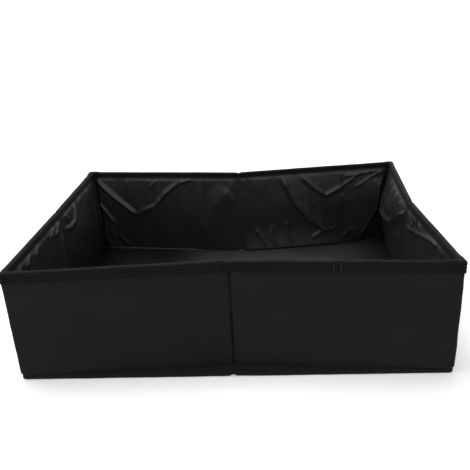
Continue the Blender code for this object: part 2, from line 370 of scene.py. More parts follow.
@dataclass(frozen=True)
class WovenFinish(Finish):
    """Matte plain-woven polyester, faintly dusty, with broad patches a little lighter."""

    name: str = "matte black woven fabric"
    deep: Triple = linear(11, 9, 10)
    raised: Triple = linear(22, 19, 20)
    roughness: float = 0.86
    uneven: float = 0.16
    relief: float = 0.00012
    strength: float = 0.8
    gloss: float = 0.12
    sheen: float = 0.03
    sheen_roughness: float = 0.6
    pitch: float = 0.00075
    slub_size: float = 0.004
    slub_detail: float = 4.0
    slub_relief: float = 0.6
    patch_size: float = 0.060
    patch_detail: float = 2.0
    patch_edge: Span = (0.35, 0.70)
    lit_by: Triple = (0.45, 0.35, 0.35)

    def make(self) -> Material:
        """Builds the material: threads over and under, slubs, patches and a soft fuzz."""
        graph = ShaderGraph(self.name)
        across, along = graph.weave_place()
        rows = (across * (1 / self.pitch)).floor() + (along * (1 / self.pitch)).floor()
        over = rows.parity()
        threads = graph.ribs(across, self.pitch) * over + graph.ribs(along, self.pitch) * (1 - over)
        slubs = graph.clouds(self.slub_size, self.slub_detail)
        patches = graph.fade(graph.clouds(self.patch_size, self.patch_detail), *self.patch_edge)
        by_thread, by_slub, by_patch = self.lit_by
        lit = threads * by_thread + slubs * by_slub + patches * by_patch
        return self.coat(
            graph, graph.blend(lit, self.deep, self.raised), (slubs - 0.5) * self.uneven,
            threads + slubs * self.slub_relief,
        )


@dataclass(frozen=True)
class TapeFinish(Finish):
    """Ribbed binding tape, a little paler in patches along the top of its turn over the rim."""

    name: str = "black binding tape"
    deep: Triple = linear(8, 7, 7)
    raised: Triple = linear(15, 13, 14)
    roughness: float = 0.78
    uneven: float = 0.2
    relief: float = 0.00012
    strength: float = 0.8
    gloss: float = 0.09
    sheen: float = 0.018
    sheen_roughness: float = 0.5
    # A paler grey, in patches along the top of the turn over the rim.
    pale_top: Triple = linear(28, 27, 27)
    # Painted shade: a darker grey laid along the stitched grooves.
    groove_shade: Triple = grey(3)
    rib: float = 0.0008
    cord: float = 0.0008 * 1.6
    slub_size: float = 0.0035
    slub_detail: float = 4.0
    half: float = 0.5
    turn_at: float = 0.0122
    turn_reach: Span = (0.0032 * 0.4, 0.0032)
    paling_size: float = 0.012
    paling_detail: float = 5.0
    paling_edge: Span = (0.25, 0.75)
    paling: float = 0.85
    # Painted shade of the stitched grooves: where it lies across the tape, how far it reaches, and
    # how dark it gets.
    rows_at: Span = (0.0030, 0.0064)
    row_reach: Span = (0.2 * 0.0010, 0.0010)
    shade_in_grooves: float = 0.8

    def make(self) -> Material:
        """Builds the material: ribs across the tape, slubs, a paler top of the turn, and painted
        shade in the stitched grooves.
        """
        graph = ShaderGraph(self.name)
        along, across = graph.weave_place()
        ribs, cords = graph.ribs(along, self.rib), graph.ribs(across, self.cord)
        slubs = graph.clouds(self.slub_size, self.slub_detail)
        # A paler grey in patches along the top of the turn over the rim.
        turn = graph.band(across, self.turn_at, *self.turn_reach)
        paling = turn * graph.fade(graph.clouds(self.paling_size, self.paling_detail), *self.paling_edge)
        tape = graph.blend(ribs * self.half + slubs * self.half, self.deep, self.raised)
        tape = graph.blend(paling * self.paling, tape, self.pale_top)
        # Painted shade darkens the tape along the stitched grooves.
        for row in self.rows_at:
            shade_in_grooves = graph.band(across, row, *self.row_reach)
            tape = graph.blend(shade_in_grooves * self.shade_in_grooves, tape, self.groove_shade)
        height = ribs + cords * self.half + slubs * self.half
        return self.coat(graph, tape, (slubs - 0.5) * self.uneven, height)


@dataclass(frozen=True)
class LiningFinish(Finish):
    """Thin waterproof lining: a glossy coated taffeta with fine long crinkles.

    Over a broad patch it is painted a lighter grey and made a little rougher: a painted highlight
    where light falls on it. The patch's reach is measured from a place in the box, with a weight
    for each axis.
    """

    name: str = "glossy black lining"
    deep: Triple = grey(24)
    raised: Triple = grey(29)
    roughness: float = 0.45
    uneven: float = 0.18
    relief: float = 0.00001
    strength: float = 0.5
    gloss: float = 0.30
    taffeta: float = 0.0005
    scuff_size: float = 0.030
    scuff_detail: float = 6.0
    crinkle_size: float = 0.024
    crinkle_stretch: Triple = (1.0, 1.0, 0.35)
    crinkle_patch: float = 0.05
    crinkle_edge: Span = (0.42, 0.62)
    crinkle_relief: float = 0.0012
    crinkle_strength: float = 0.6
    crinkled: float = 0.8
    long_share: float = 0.7
    small_size: float = 0.024 * 0.35
    small_share: float = 0.06
    dent_size: float = 0.045
    dent_detail: float = 2.0
    dented: float = 0.35
    # Painted highlight: its lighter grey and share, the place, axis weights and reach of its patch,
    # the roughness it adds, and its broken outline.
    highlight_grey: Triple = grey(47)
    highlight_share: float = 0.8
    highlight_at: Triple = (0.070, 0.125, 0.004)
    highlight_weights: Triple = (0.5, 0.3, 1.0)
    highlight_reach: Span = (0.008, 0.044)
    highlight_roughness: float = 0.05
    highlight_size: float = 0.09
    highlight_edge: Span = (0.15, 0.55)

    def make(self) -> Material:
        """Builds the material: thin crests that run mostly up and down, dents, a grain and a
        painted highlight.
        """
        graph = ShaderGraph(self.name)
        across, along = graph.weave_place()
        place = graph.place()
        sockets = {"Vector": place, "Scale": self.crinkle_stretch}
        drawn = graph.signal("ShaderNodeMapping", None, sockets)
        broken = graph.fade(graph.clouds(self.crinkle_patch), *self.crinkle_edge)
        crests = graph.crests(self.crinkle_size, drawn) * broken
        small = graph.crests(self.small_size, place)
        dents = graph.clouds(self.dent_size, self.dent_detail)
        grain = graph.ribs(across, self.taffeta) + graph.ribs(along, self.taffeta)
        crinkles = (crests * self.long_share + small * self.small_share) * self.crinkled
        broad = graph.bump(
            crinkles + dents * self.dented, self.crinkle_relief, self.crinkle_strength
        )
        scuffs = graph.clouds(self.scuff_size, self.scuff_detail)
        # Painted highlight: a broad patch that pales the lining and roughens it a little where
        # light falls.
        off = graph.vector("SUBTRACT", place, self.highlight_at)
        off = graph.vector("MULTIPLY", off, self.highlight_weights)
        patch = 1 - graph.fade(graph.length(off), *self.highlight_reach)
        patch = patch * graph.fade(graph.clouds(self.highlight_size), *self.highlight_edge)
        colour = graph.blend(scuffs, self.deep, self.raised)
        colour = graph.blend(patch * self.highlight_share, colour, self.highlight_grey)
        rough = (scuffs - 0.5) * self.uneven + patch * self.highlight_roughness
        return self.coat(graph, colour, rough, grain, broad)


@dataclass(frozen=True)
class ThreadFinish(Finish):
    """Twisted black polyester thread."""

    name: str = "black thread"
    deep: Triple = grey(15)
    raised: Triple = linear(38, 37, 36)
    roughness: float = 0.55
    uneven: float = 0.1
    relief: float = 0.0001
    strength: float = 0.6
    gloss: float = 0.3
    twist: float = 0.0009

    def make(self) -> Material:
        """Builds the material: a diagonal twist with a low gloss."""
        graph = ShaderGraph(self.name)
        across, along, up = graph.parts(graph.place())
        twist = graph.ribs(across + along + up, self.twist)
        colour = graph.blend(twist, self.deep, self.raised)
        return self.coat(graph, colour, twist * self.uneven, twist)


@dataclass(frozen=True)
class BoardFinish(Finish):
    """Dark grey stiffening board with pressed fibres."""

    name: str = "stiff board"
    deep: Triple = linear(35, 34, 32)
    raised: Triple = linear(50, 48, 46)
    roughness: float = 0.78
    uneven: float = 0.12
    relief: float = 0.00008
    strength: float = 0.5
    gloss: float = 0.3
    pulp_size: float = 0.006
    pulp_detail: float = 5.0
    pulp_light: float = 0.7
    fleck_size: float = 0.0012
    fleck_detail: float = 2.0
    fleck_edge: Span = (0.55, 0.75)
    fleck_light: float = 0.4

    def make(self) -> Material:
        """Builds the material: flecks in a cloudy pulp."""
        graph = ShaderGraph(self.name)
        pulp = graph.clouds(self.pulp_size, self.pulp_detail)
        flecks = graph.fade(graph.clouds(self.fleck_size, self.fleck_detail), *self.fleck_edge)
        lit = pulp * self.pulp_light + flecks * self.fleck_light
        colour = graph.blend(lit, self.deep, self.raised)
        return self.coat(graph, colour, pulp * self.uneven, pulp + flecks)


@dataclass(frozen=True)
class Finishes:
    """The materials of the box, made once."""

    fabric: Material
    tape: Material
    lining: Material
    floor_lining: Material
    thread: Material
    board: Material

    @classmethod
    def make(cls) -> "Finishes":
        """Builds all of them."""
        # The floor lining is painted a darker grey than the walls', with a painted highlight across
        # its middle and right, so its left and right ends read as painted shade.
        floor_lining = LiningFinish(
            name="smooth black floor lining", deep=grey(13), raised=grey(18), crinkled=0.0,
            dent_size=0.060, dented=0.9, roughness=0.30, highlight_share=1.0, highlight_at=(0.050, 0.0, 0.0),
            highlight_weights=(1.0, 0.0, 0.0), highlight_reach=(0.060, 0.160), highlight_roughness=0.20,
        )
        finishes = (
            WovenFinish(), TapeFinish(), LiningFinish(), floor_lining, ThreadFinish(), BoardFinish()
        )
        return cls(*(finish.make() for finish in finishes))


# The folding ring


@dataclass(frozen=True)
class WallHalf:
    """One stiff half of a wall, which is a body of the same name.

    Its frame takes a place given as along from its corner, depth from its outer face inward,
    and height over the base's upper face, to the box. The twin lies across the middle fold.
    """

    name: str
    twin: str
    spot: Spot
    hand: Hand
    frame: Matrix
    length: float
    corner_pair: tuple[str, str]
    fold_pair: tuple[str, str] | None = None

    def at(self, along: float, depth: float, height: float) -> Vector:
        """Point of the box at a place on this half."""
        return self.frame @ Vector((along, depth, height))

    def meets(self, other: "WallHalf", depth: float, height: float) -> Vector:
        """Point where the lines at one depth and height of two neighbours cross."""
        ends = [
            half.at(along, depth, height) for half in (self, other) for along in (0.0, half.length)
        ]
        return intersect_line_line(*ends)[0]

    def along_of(self, point: Vector) -> float:
        """How far along this half a point of the box lies."""
        return (self.frame.inverted() @ point).x

    def inward(self) -> Vector:
        """Direction through the wall into the box."""
        return self.frame.to_3x3() @ Vector((0.0, 1.0, 0.0))


@dataclass(frozen=True)
class RingPlan:
    """Sizes of the open box, in metres, the same as the solids'."""

    width: float = 0.400
    depth: float = 0.300
    height: float = 0.112
    front_bow: float = 0.013
    back_bow: float = 0.024
    left_bow: float = 0.001
    right_bow: float = 0.0095
    fabric: float = 0.0009
    wall_board: float = 0.0024
    base_board: float = 0.0020
    lining: float = 0.0008
    gap: float = 0.0003
    binding_drop: float = 0.010
    binding_drop_inside: float = 0.005
    stitch_drops: Span = (0.0040, 0.0074)

    @property
    def wall(self) -> float:
        """Thickness of a wall."""
        return self.fabric + self.wall_board + self.lining + 2 * self.gap

    @property
    def base_top(self) -> float:
        """Height of the base's upper face over the floor."""
        return self.fabric + self.base_board + self.lining + 2 * self.gap

    @property
    def rim(self) -> float:
        """Height of the rim over the base."""
        return self.height - self.base_top

    @property
    def binding_foot(self) -> float:
        """Height of the binding's lower edge over the base."""
        return self.rim - self.binding_drop

    @property
    def inside_foot(self) -> float:
        """Height of the binding's inner edge over the base."""
        return self.rim - self.binding_drop_inside

    @property
    def long_half(self) -> float:
        """From a corner's pivot to the middle fold of the front or back wall."""
        return self.width / 2 - self.wall

    @property
    def short_half(self) -> float:
        """From a corner's pivot to the middle fold of a side wall."""
        return self.depth / 2 - self.wall - self.gap / 2

    @property
    def back_draw(self) -> float:
        """How far the bowed back wall draws each back corner in."""
        return self.long_half * (1 - math.cos(math.asin(self.back_bow / self.long_half)))

    def far_wall(self, turn: int) -> Span:
        """Bow and corner draw of the front wall, where turn is negative, or of the back wall."""
        return (self.front_bow, 0.0) if turn < 0 else (self.back_bow, self.back_draw)

    def halves(self) -> dict[str, WallHalf]:
        """The eight half walls by name."""
        return {half.name: half for hand in Hand for half in self._side(hand)}

    def _side(self, hand: Hand) -> list[WallHalf]:
        """The four half walls of one side, hinged in a chain from the front corner.

        Args:
            hand: The side.

        Returns:
            Them, from the front middle fold round to the back one.
        """
        sign, side = hand.value, hand.name.lower()
        other = Hand(-sign).name.lower()
        bow = self.left_bow if hand is Hand.LEFT else self.right_bow
        front_turn = math.asin((bow + self.back_draw / 2) / self.short_half)
        back_turn = math.asin((bow - self.back_draw / 2) / self.short_half)
        front_yaw = math.asin(self.front_bow / self.long_half)
        back_yaw = math.asin(self.back_bow / self.long_half)
        corner_y = -self.depth / 2 + self.wall + self.gap / 2
        corner = Matrix.Translation((sign * self.long_half, corner_y, self.base_top))
        front = corner @ Matrix.Rotation(-sign * front_yaw, 4, "Z")
        side_front = corner @ Matrix.Rotation(sign * front_turn, 4, "Z")
        middle = Matrix.Translation((sign * self.wall, self.short_half, 0.0))
        side_back = side_front @ middle @ Matrix.Rotation(-sign * (front_turn + back_turn), 4, "Z")
        far = Matrix.Translation((-sign * self.wall, self.short_half, 0.0))
        back = side_back @ far @ Matrix.Rotation(sign * (back_turn + back_yaw), 4, "Z")
        seat = self.wall + self.gap / 2
        across, onward = Vector((-sign, 0.0, 0.0)), Vector((0.0, 1.0, 0.0))
        middle_pair = (side + "_front", side + "_back")
        back_pair = (side + "_back", "back_" + side)
        return [
            WallHalf("front_" + side, "front_" + other, Spot.FRONT, hand,
                     front @ axes(across, onward, Vector((0.0, -seat, 0.0))),
                     self.long_half, ("front_corners", "front_" + side)),
            WallHalf(side + "_front", side + "_back", Spot.SIDE_FRONT, hand,
                     side_front @ axes(onward, across, Vector((sign * self.wall, 0.0, 0.0))),
                     self.short_half, ("front_corners", side + "_front"), middle_pair),
            WallHalf(side + "_back", side + "_front", Spot.SIDE_BACK, hand,
                     side_back @ axes(-onward, across, Vector((0.0, self.short_half, 0.0))),
                     self.short_half, back_pair, middle_pair),
            WallHalf("back_" + side, "back_" + other, Spot.BACK, hand,
                     back @ axes(across, -onward, Vector((0.0, seat, 0.0))),
                     self.long_half, back_pair),
        ]


def axes(along: Vector, inward: Vector, origin: Vector) -> Matrix:
    """Frame with the given directions for along and depth, and height straight up."""
    made = Matrix((along, inward, UP)).transposed().to_4x4()
    made.translation = origin
    return made


# Cloth meshes


@dataclass
class ClothPiece:
    """A sheet of cloth made from a flat grid, placed by a function of its two shares."""

    name: str
    material: Material
    place: Place
    flat: Span
    outward: Callable[[Vector], Vector]
    thickness: float
    cell: float = 0.003
    rows: int = 0

    def build(self) -> Object:
        """Makes the object, with the flat cloth's place as its UV map in metres."""
        columns = max(2, round(self.flat[0] / self.cell))
        rows = self.rows or max(2, round(self.flat[1] / self.cell))
        bm = bmesh.new()
        bmesh.ops.create_grid(bm, x_segments=columns, y_segments=rows, size=0.5)
        cloth = bm.loops.layers.uv.new("Cloth")
        for face in bm.faces:
            for loop in face.loops:
                across, along = loop.vert.co.x + 0.5, loop.vert.co.y + 0.5
                loop[cloth].uv = (across * self.flat[0], along * self.flat[1])
        for vert in bm.verts:
            vert.co = self.place(vert.co.x + 0.5, vert.co.y + 0.5)
        turn_out(bm, self.outward)
        return add_object(self.name, bm, self.material, self.thickness)


def turn_out(bm: BMesh, outward: Callable[[Vector], Vector]) -> None:
    """Turns an open sheet over if most of its faces look away from the outward direction.

    Args:
        bm: The sheet's mesh.
        outward: Gives the outward direction at a point.
    """
    bm.normal_update()
    agreeing = sum(
        1 if face.normal.dot(outward(face.calc_center_median())) > 0 else -1 for face in bm.faces
    )
    if agreeing < 0:
        bmesh.ops.reverse_faces(bm, faces=bm.faces)
    bm.normal_update()


def add_object(name: str, bm: BMesh, material: Material, thickness: float = 0.0) -> Object:
    """Links a smooth-shaded object with crisp cloth edges.

    Args:
        name: The object's name.
        bm: Its mesh, which is freed.
        material: Its finish.
        thickness: Thickness given to an open sheet, behind its faces.

    Returns:
        The object.
    """
    edges = {edge for edge in bm.edges if edge.is_boundary}
    if thickness:
        bmesh.ops.solidify(bm, geom=bm.faces[:], thickness=thickness)
        edges |= {edge for edge in bm.edges if edge.calc_face_angle(0.0) > CRISP_ANGLE}
    for face in bm.faces:
        face.smooth = True
    for edge in edges:
        edge.smooth = False
    mesh = bpy.data.meshes.new(name)
    bm.to_mesh(mesh)
    bm.free()
    mesh.materials.append(material)
    obj = bpy.data.objects.new(name, mesh)
    bpy.context.collection.objects.link(obj)
    return obj


@dataclass(frozen=True)
class Fold:
    """A crease of the lining.

    Points are shares of the half wall's length from its corner and of the lining's height.
    The flank to the left, seen walking along the points, may be wider than the other. Both ends
    taper off to a share of the crease's rise.
    """

    points: tuple[Span, ...]
    rise: float
    left: float
    right: float
    sharpness: float = 1.35
    taper: float = 0.12
    end_rise: float = 0.30

    def height(self, along: float, height: float, length: float, top: float) -> float:
        """Height of the crease at a place on the cloth, in metres.

        Args:
            along: Distance from the half wall's corner.
            height: Height over the base.
            length: The half wall's length.
            top: The lining's height.

        Returns:
            The height, which is 0 away from the crease.
        """
        here = Vector((along, height, 0.0))
        ends = [Vector((share * length, up * top, 0.0)) for share, up in self.points]
        reach = max(self.left, self.right)
        for axis in range(2):
            line = [end[axis] for end in ends]
            if not min(line) - reach <= here[axis] <= max(line) + reach:
                return 0.0
        total = sum((last - first).length for first, last in zip(ends, ends[1:]))
        best, walked = 0.0, 0.0
        for first, last in zip(ends, ends[1:]):
            step = (last - first).length
            part = clamp(intersect_point_line(here, first, last)[1], 0.0, 1.0)
            off = here - first.lerp(last, part)
            is_left = (last - first).cross(off).z > 0
            near = max(0.0, 1 - off.length / (self.left if is_left else self.right))
            gone = (walked + part * step) / total
            taper = rise(self.taper, gone) * rise(self.taper, 1 - gone)
            best = max(best, self.rise * near**self.sharpness * mix(self.end_rise, 1.0, taper))
            walked += step
        return best


# Sub-assemblies


@dataclass
class OuterFabric:
    """The woven fabric over the boards, with a strip of it wrapped round each corner."""

    plan: RingPlan
    finishes: Finishes
    thinned: float = 0.8
    closer: float = 1.5
    swell_reach: float = 0.030
    swell_rise: float = 0.020
    swell_fall: float = 0.016
    crown: float = 0.0005
    waves: float = 0.00030
    wave_size: float = 0.045
    channel_top: float = 0.0026
    channel_foot: float = 0.0011
    channel_depth: float = 0.0028
    channel_edge: Span = (0.55, 1.15)
    side_groove: float = 0.0009
    side_groove_reach: float = 0.0022
    hem_turn: float = 0.0009
    hem_reach: float = 0.0035
    tuck: float = 0.0050
    tucked: float = 0.0004
    tuck_reach: float = 0.0022
    wrap_reach: float = 0.0055
    wrap_overlap: float = 0.0035
    wrap_thickness: float = 0.0005
    wrap_cell: float = 0.0010
    wrap_rows: int = 34
    wrap_wave_size: float = 0.018
    corner_round: float = 0.0026
    round_saves: float = 0.4
    underlap: float = 0.00030
    underlap_reach: float = 0.0030
    wrap_edge: Span = (0.45, 1.0)

    def build(self, halves: dict[str, WallHalf]) -> list[Object]:
        """Makes the fabric of every half wall and the four corner wraps."""
        pieces = [self.half(half, halves) for half in halves.values()]
        return pieces + [self.corner(name, *pair) for name, pair in corner_pairs(halves).items()]

    def heights(self) -> Span:
        """The fabric's foot and its upper edge under the binding, over the base."""
        return self.plan.gap, self.plan.binding_foot + self.tuck

    def hem(self, height: float) -> float:
        """How far the hem turns in at a height."""
        return self.hem_turn * fall(self.hem_reach, height)

    def surface(self, half: WallHalf, along: float, height: float) -> float:
        """Depth of the fabric's outer face at a place, from the flat face inward.

        Args:
            half: The half wall.
            along: Distance from its corner.
            height: Height over the base.

        Returns:
            The depth, in metres.
        """
        past = half.length - along
        under = self.plan.binding_foot - height
        swell = rise(self.swell_reach, along) * rise(self.swell_reach, past)
        swell *= rise(self.swell_rise, height) * rise(self.swell_fall, under)
        depth = -self.crown * swell + self.tucked * fall(self.tuck_reach, under)
        depth += self.waves * ripple(half.at(along, 0.0, height), self.wave_size) * swell
        low, high = self.wrap_reach - self.underlap_reach, self.wrap_reach + self.underlap_reach
        depth += self.hem(height) + self.underlap * (1 - smooth(low, high, along))
        if half.fold_pair:
            return depth + self.side_groove * fall(self.side_groove_reach, past)
        reach = mix(self.channel_foot, self.channel_top, min(1.0, height / self.plan.rim))
        low, high = (reach * share for share in self.channel_edge)
        return depth + self.channel_depth * (1 - smooth(low, high, past))

    def half(self, half: WallHalf, halves: dict[str, WallHalf]) -> Object:
        """Makes the fabric of one half wall, which reaches up under the binding.

        Args:
            half: The half wall.
            halves: All half walls by name.

        Returns:
            The cloth.
        """
        low, high = self.heights()
        start = self.wrap_reach - self.wrap_overlap
        twin = halves[half.twin]

        def place(across: float, up: float) -> Vector:
            """Point of the cloth at shares of its width and height."""
            height = mix(low, high, up)
            end = half.along_of(half.meets(twin, 0.0, height)) - self.plan.gap / 4
            along = mix(start, end, 1 - (1 - across) ** self.closer)
            return half.at(along, self.surface(half, along, height), height)

        cut = (half.length - start, high - low)
        obj = ClothPiece(
            "outer_fabric_cloth_" + half.name, self.finishes.fabric, place, cut,
            lambda centre: -half.inward(), self.plan.fabric * self.thinned,
        ).build()
        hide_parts("outer_fabric_" + half.name)
        return ride_fold(obj, half, halves)

    def corner(self, name: str, first: WallHalf, last: WallHalf) -> Object:
        """Makes the strip that wraps one corner, from one wall to the next.

        Args:
            name: The corner's name.
            first: Half wall on which the cloth starts.
            last: Half wall on which it ends.

        Returns:
            The cloth.
        """
        low, high = self.heights()

        def place(across: float, up: float) -> Vector:
            """Point of the cloth at shares of its width and height."""
            height, side = mix(low, high, up), abs(across * 2 - 1)
            turn = self.hem(height) + 0.5 * self.underlap * smooth(*self.wrap_edge, side)
            point = round_corner(
                first, last, across, turn, height, self.wrap_reach, self.corner_round
            )
            out = (point - Vector((0.0, 0.0, point.z))).normalized()
            waves = self.waves * ripple(point, self.wrap_wave_size) * rise(0.5, 1 - side)
            return point + out * waves

        across = 2 * (self.wrap_reach + self.plan.wall) - self.round_saves * self.corner_round
        cut = (across, high - low)
        obj = ClothPiece(
            "corner_wrap_" + name, self.finishes.fabric, place, cut,
            lambda centre: -first.inward() - last.inward(), self.wrap_thickness, self.wrap_cell,
            self.wrap_rows,
        ).build()
        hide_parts("corner_seam_" + name)
        return bend_corner(obj, last, self.plan)


def corner_pairs(halves: dict[str, WallHalf]) -> dict[str, tuple[WallHalf, WallHalf]]:
    """The two half walls that meet at each corner, by the corner's name."""
    sides = [hand.name.lower() for hand in Hand]
    return {
        f"{end}_{side}": (halves[f"{end}_{side}"], halves[f"{side}_{end}"])
        for side in sides for end in ("front", "back")
    }


def round_corner(
    first: WallHalf, last: WallHalf, across: float, depth: float, height: float, reach: float,
    radius: float, flat_share: float = 0.36,
) -> Vector:
    """Point on a strip round an outer corner.

    Args:
        first: Half wall on which the strip starts.
        last: Half wall on which it ends.
        across: Share of the strip walked.
        depth: Depth from both outer faces.
        height: Height over the base.
        reach: How far the strip reaches along each wall from the corner's pivot.
        radius: Where the rounding starts, from the sharp corner.
        flat_share: Share of the strip that lies flat on each wall.

    Returns:
        The point, in the box.
    """
    sharp = first.meets(last, depth, height)
    on_first, on_last = first.along_of(sharp), last.along_of(sharp)
    begin = first.at(on_first + radius, depth, height)
    end = last.at(on_last + radius, depth, height)
    if across < flat_share:
        return first.at(reach, depth, height).lerp(begin, across / flat_share)
    if across > 1 - flat_share:
        return end.lerp(last.at(reach, depth, height), (across - 1 + flat_share) / flat_share)
    share = (across - flat_share) / (1 - 2 * flat_share)
    return begin.lerp(sharp, share).lerp(sharp.lerp(end, share), share)


def ride_fold(
    obj: Object, half: WallHalf, halves: dict[str, WallHalf], reach: float = 0.007
) -> Object:
    """Makes a half wall's cloth ride its body. On a side wall the cloth is only baked in place,
    without a bend over the middle fold.

    Args:
        obj: The cloth.
        half: The half wall.
        halves: All half walls by name.
        reach: Not used; it would be how far from the fold a bend starts on each half.

    Returns:
        The cloth.
    """
    if not half.fold_pair:
        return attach(obj, half.name)
    first, last = (halves[name] for name in half.fold_pair)
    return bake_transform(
        obj, *half.fold_pair,
        start=first.at(first.length - reach, 0.0, 0.0), end=last.at(last.length - reach, 0.0, 0.0),
    )


def bend_corner(
    obj: Object, last: WallHalf, plan: RingPlan, reach: float = 0.003
) -> Object:
    """Bakes a corner's cloth in place; it does not bend from one of its bodies to the other.

    Args:
        obj: The cloth.
        last: Half wall on which it ends.
        plan: The box's sizes.
        reach: Not used; it would be how far along the half wall a bend ends.

    Returns:
        The cloth.
    """
    parent, child = last.corner_pair
    near, far = last.at(-plan.wall, 0.0, 0.0), last.at(reach, 0.0, 0.0)
    if last.name == child:
        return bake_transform(obj)
    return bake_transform(obj)


@dataclass
class RimBinding:
    """Tape folded over the rim, held by two rows of stitches."""

    plan: RingPlan
    finishes: Finishes
    proud: float = 0.00050
    top_rise: float = 0.0003
    crown: float = 0.0026
    crown_power: float = 0.8
    hang: float = 0.0004
    edge_turn: float = 0.00015
    edge_reach: float = 0.0006
    thickness: float = 0.00045
    cell: float = 0.0030
    rows: int = 58
    closer: float = 1.25
    waves: float = 0.00020
    wave_size: float = 0.022
    wave_seed: float = 7.0
    lift: float = 0.8
    lift_size: float = 0.035
    calm_start: float = 0.012
    calm_end: float = 0.010
    row_dip: float = 0.00042
    row_reach: float = 0.0011
    pinch: float = 0.0011
    pinch_reach: float = 0.009
    stitch_pitch: float = 0.0031
    stitch: Triple = (0.0011, 0.00026, 0.00024)
    stitch_sunk: float = 0.00002
    stitch_out: float = 0.0001
    stitch_lean: float = 0.05
    stitch_seed: float = 900.0
    last_stitch: float = 0.003
    wrap_reach: float = 0.0075
    wrap_overlap: float = 0.003
    wrap_cell: float = 0.0011
    wrap_swell: float = 0.00022
    wrap_edge: Span = (0.86, 1.0)
    wrap_waves: float = 0.0003
    wrap_wave_size: float = 0.012
    corner_rounds: Span = (0.0008, 0.0036)
    top_band: float = 0.001
    lap_at: float = 0.1010
    lap_width: float = 0.0085
    lap_hem: float = 0.0008
    lap_cell: float = 0.0007
    lap_edge: Span = (0.80, 1.0)
    lap_thinned: float = 0.35
    tack_count: int = 12
    tack_pitch: float = 0.00068
    tack_inset: float = 0.0011
    tack_foot: float = 0.0008
    tack_sunk: float = 0.00005
    tack_lean: float = 0.5
    tack_length: float = 0.8

    def build(self, halves: dict[str, WallHalf]) -> list[Object]:
        """Makes the tape and stitches of every half wall, the four corners and the lap."""
        pieces = []
        for half in halves.values():
            pieces += [self.tape(half, halves), self.stitches(half, halves)]
        for name, pair in corner_pairs(halves).items():
            pieces.append(self.corner(name, *pair))
        return pieces + [self.lap(halves["front_right"]), self.tacks(halves["front_right"])]

    def core(self) -> float:
        """Height over the base of a line inside the folded tape."""
        return self.plan.rim - 0.5 * self.plan.binding_drop_inside

    def legs(self) -> Triple:
        """Lengths of the outer leg, the turn over the rim and the inner leg."""
        spare = self.hang + self.top_rise - self.crown
        return (
            self.plan.binding_drop + spare,
            math.pi * self.crown,
            self.plan.binding_drop_inside + spare,
        )

    def arc(self) -> float:
        """Width of the flat tape."""
        return sum(self.legs())

    def section(self, share: float, swell: float = 0.0, pinch: float = 0.0) -> Span:
        """Point of the folded tape's section.

        Args:
            share: Share of the way over the tape, from the outer edge inward.
            swell: How much further out the tape stands all round.
            pinch: How far its top is drawn down.

        Returns:
            Depth from the wall's outer face, and height over the base.
        """
        outer_leg, turn, inner_leg = self.legs()
        walked = share * self.arc()
        middle = self.plan.wall / 2
        half_width = middle + self.proud + swell
        top = self.plan.rim + self.top_rise + swell - pinch
        if outer_leg <= walked <= outer_leg + turn:
            angle = math.pi * (1 - (walked - outer_leg) / turn)
            height = top - self.crown + self.crown * math.sin(angle) ** self.crown_power
            return middle + half_width * math.cos(angle), height
        outside = walked < outer_leg
        foot = (self.plan.binding_foot if outside else self.plan.inside_foot) - self.hang
        climb = walked / outer_leg if outside else (self.arc() - walked) / inner_leg
        height = mix(foot, top - self.crown, climb)
        dip = sum(
            self.row_dip * fall(self.row_reach, abs(self.plan.rim - drop - height))
            for drop in self.plan.stitch_drops
        )
        depth = half_width - dip - self.edge_turn * fall(self.edge_reach, height - foot)
        return (middle - depth if outside else middle + depth), height

    def cloth(
        self, name: str, place: Place, cut: Span, outward: Callable[[Vector], Vector], cell: float
    ) -> Object:
        """Makes a length of the folded tape.

        Args:
            name: The object's name.
            place: Gives the point at two shares of the tape.
            cut: Its flat size.
            outward: Gives the outward direction at a point.
            cell: Size of its cells along the tape.

        Returns:
            The tape.
        """
        return ClothPiece(
            name, self.finishes.tape, place, cut, outward, self.thickness, cell, self.rows
        ).build()

    def tape(self, half: WallHalf, halves: dict[str, WallHalf]) -> Object:
        """Makes the tape of one half wall.

        Args:
            half: The half wall.
            halves: All half walls by name.

        Returns:
            The tape.
        """
        twin = halves[half.twin]
        start = self.wrap_reach - self.wrap_overlap

        def place(across: float, over: float) -> Vector:
            """Point of the tape at shares of its length and of the way over the rim."""
            pinch = self.pinch * fall(self.pinch_reach, (1 - across) * half.length)
            depth, height = self.section(over, 0.0, pinch)
            end = half.along_of(half.meets(twin, depth, height)) + self.plan.gap / 4
            along = mix(start, end, 1 - (1 - across) ** self.closer)
            here = half.at(along, depth, height)
            waves = self.waves * rise(self.calm_start, along - start)
            waves *= rise(self.calm_end, end - along)
            depth += waves * ripple(here + UP * self.wave_seed, self.wave_size)
            return half.at(along, depth, height + self.lift * waves * ripple(here, self.lift_size))

        def outward(centre: Vector) -> Vector:
            """Outward direction at a point."""
            return centre - half.at(half.along_of(centre), self.plan.wall / 2, self.core())

        cut = (half.length - start, self.arc())
        obj = self.cloth("binding_tape_" + half.name, place, cut, outward, self.cell)
        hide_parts("binding_" + half.name)
        return ride_fold(obj, half, halves)

    def sew(
        self, name: str, half: WallHalf, stitches: list[tuple[Triple, float]], size: Triple
    ) -> Object:
        """Makes stitches on a half wall, each given by its place there and its lean.

        Args:
            name: The object's name.
            half: The half wall.
            stitches: The place and lean of each stitch.
            size: Half the length, width and height of a stitch.

        Returns:
            The stitches, as one object.
        """
        bm = bmesh.new()
        for place, lean in stitches:
            spot = half.frame @ Matrix.Translation(place) @ Matrix.Rotation(lean, 4, "Y")
            spot = spot @ Matrix.Diagonal((*size, 1.0))
            bmesh.ops.create_icosphere(bm, subdivisions=1, radius=1.0, matrix=spot)
        bmesh.ops.recalc_face_normals(bm, faces=bm.faces)
        return add_object(name, bm, self.finishes.thread)

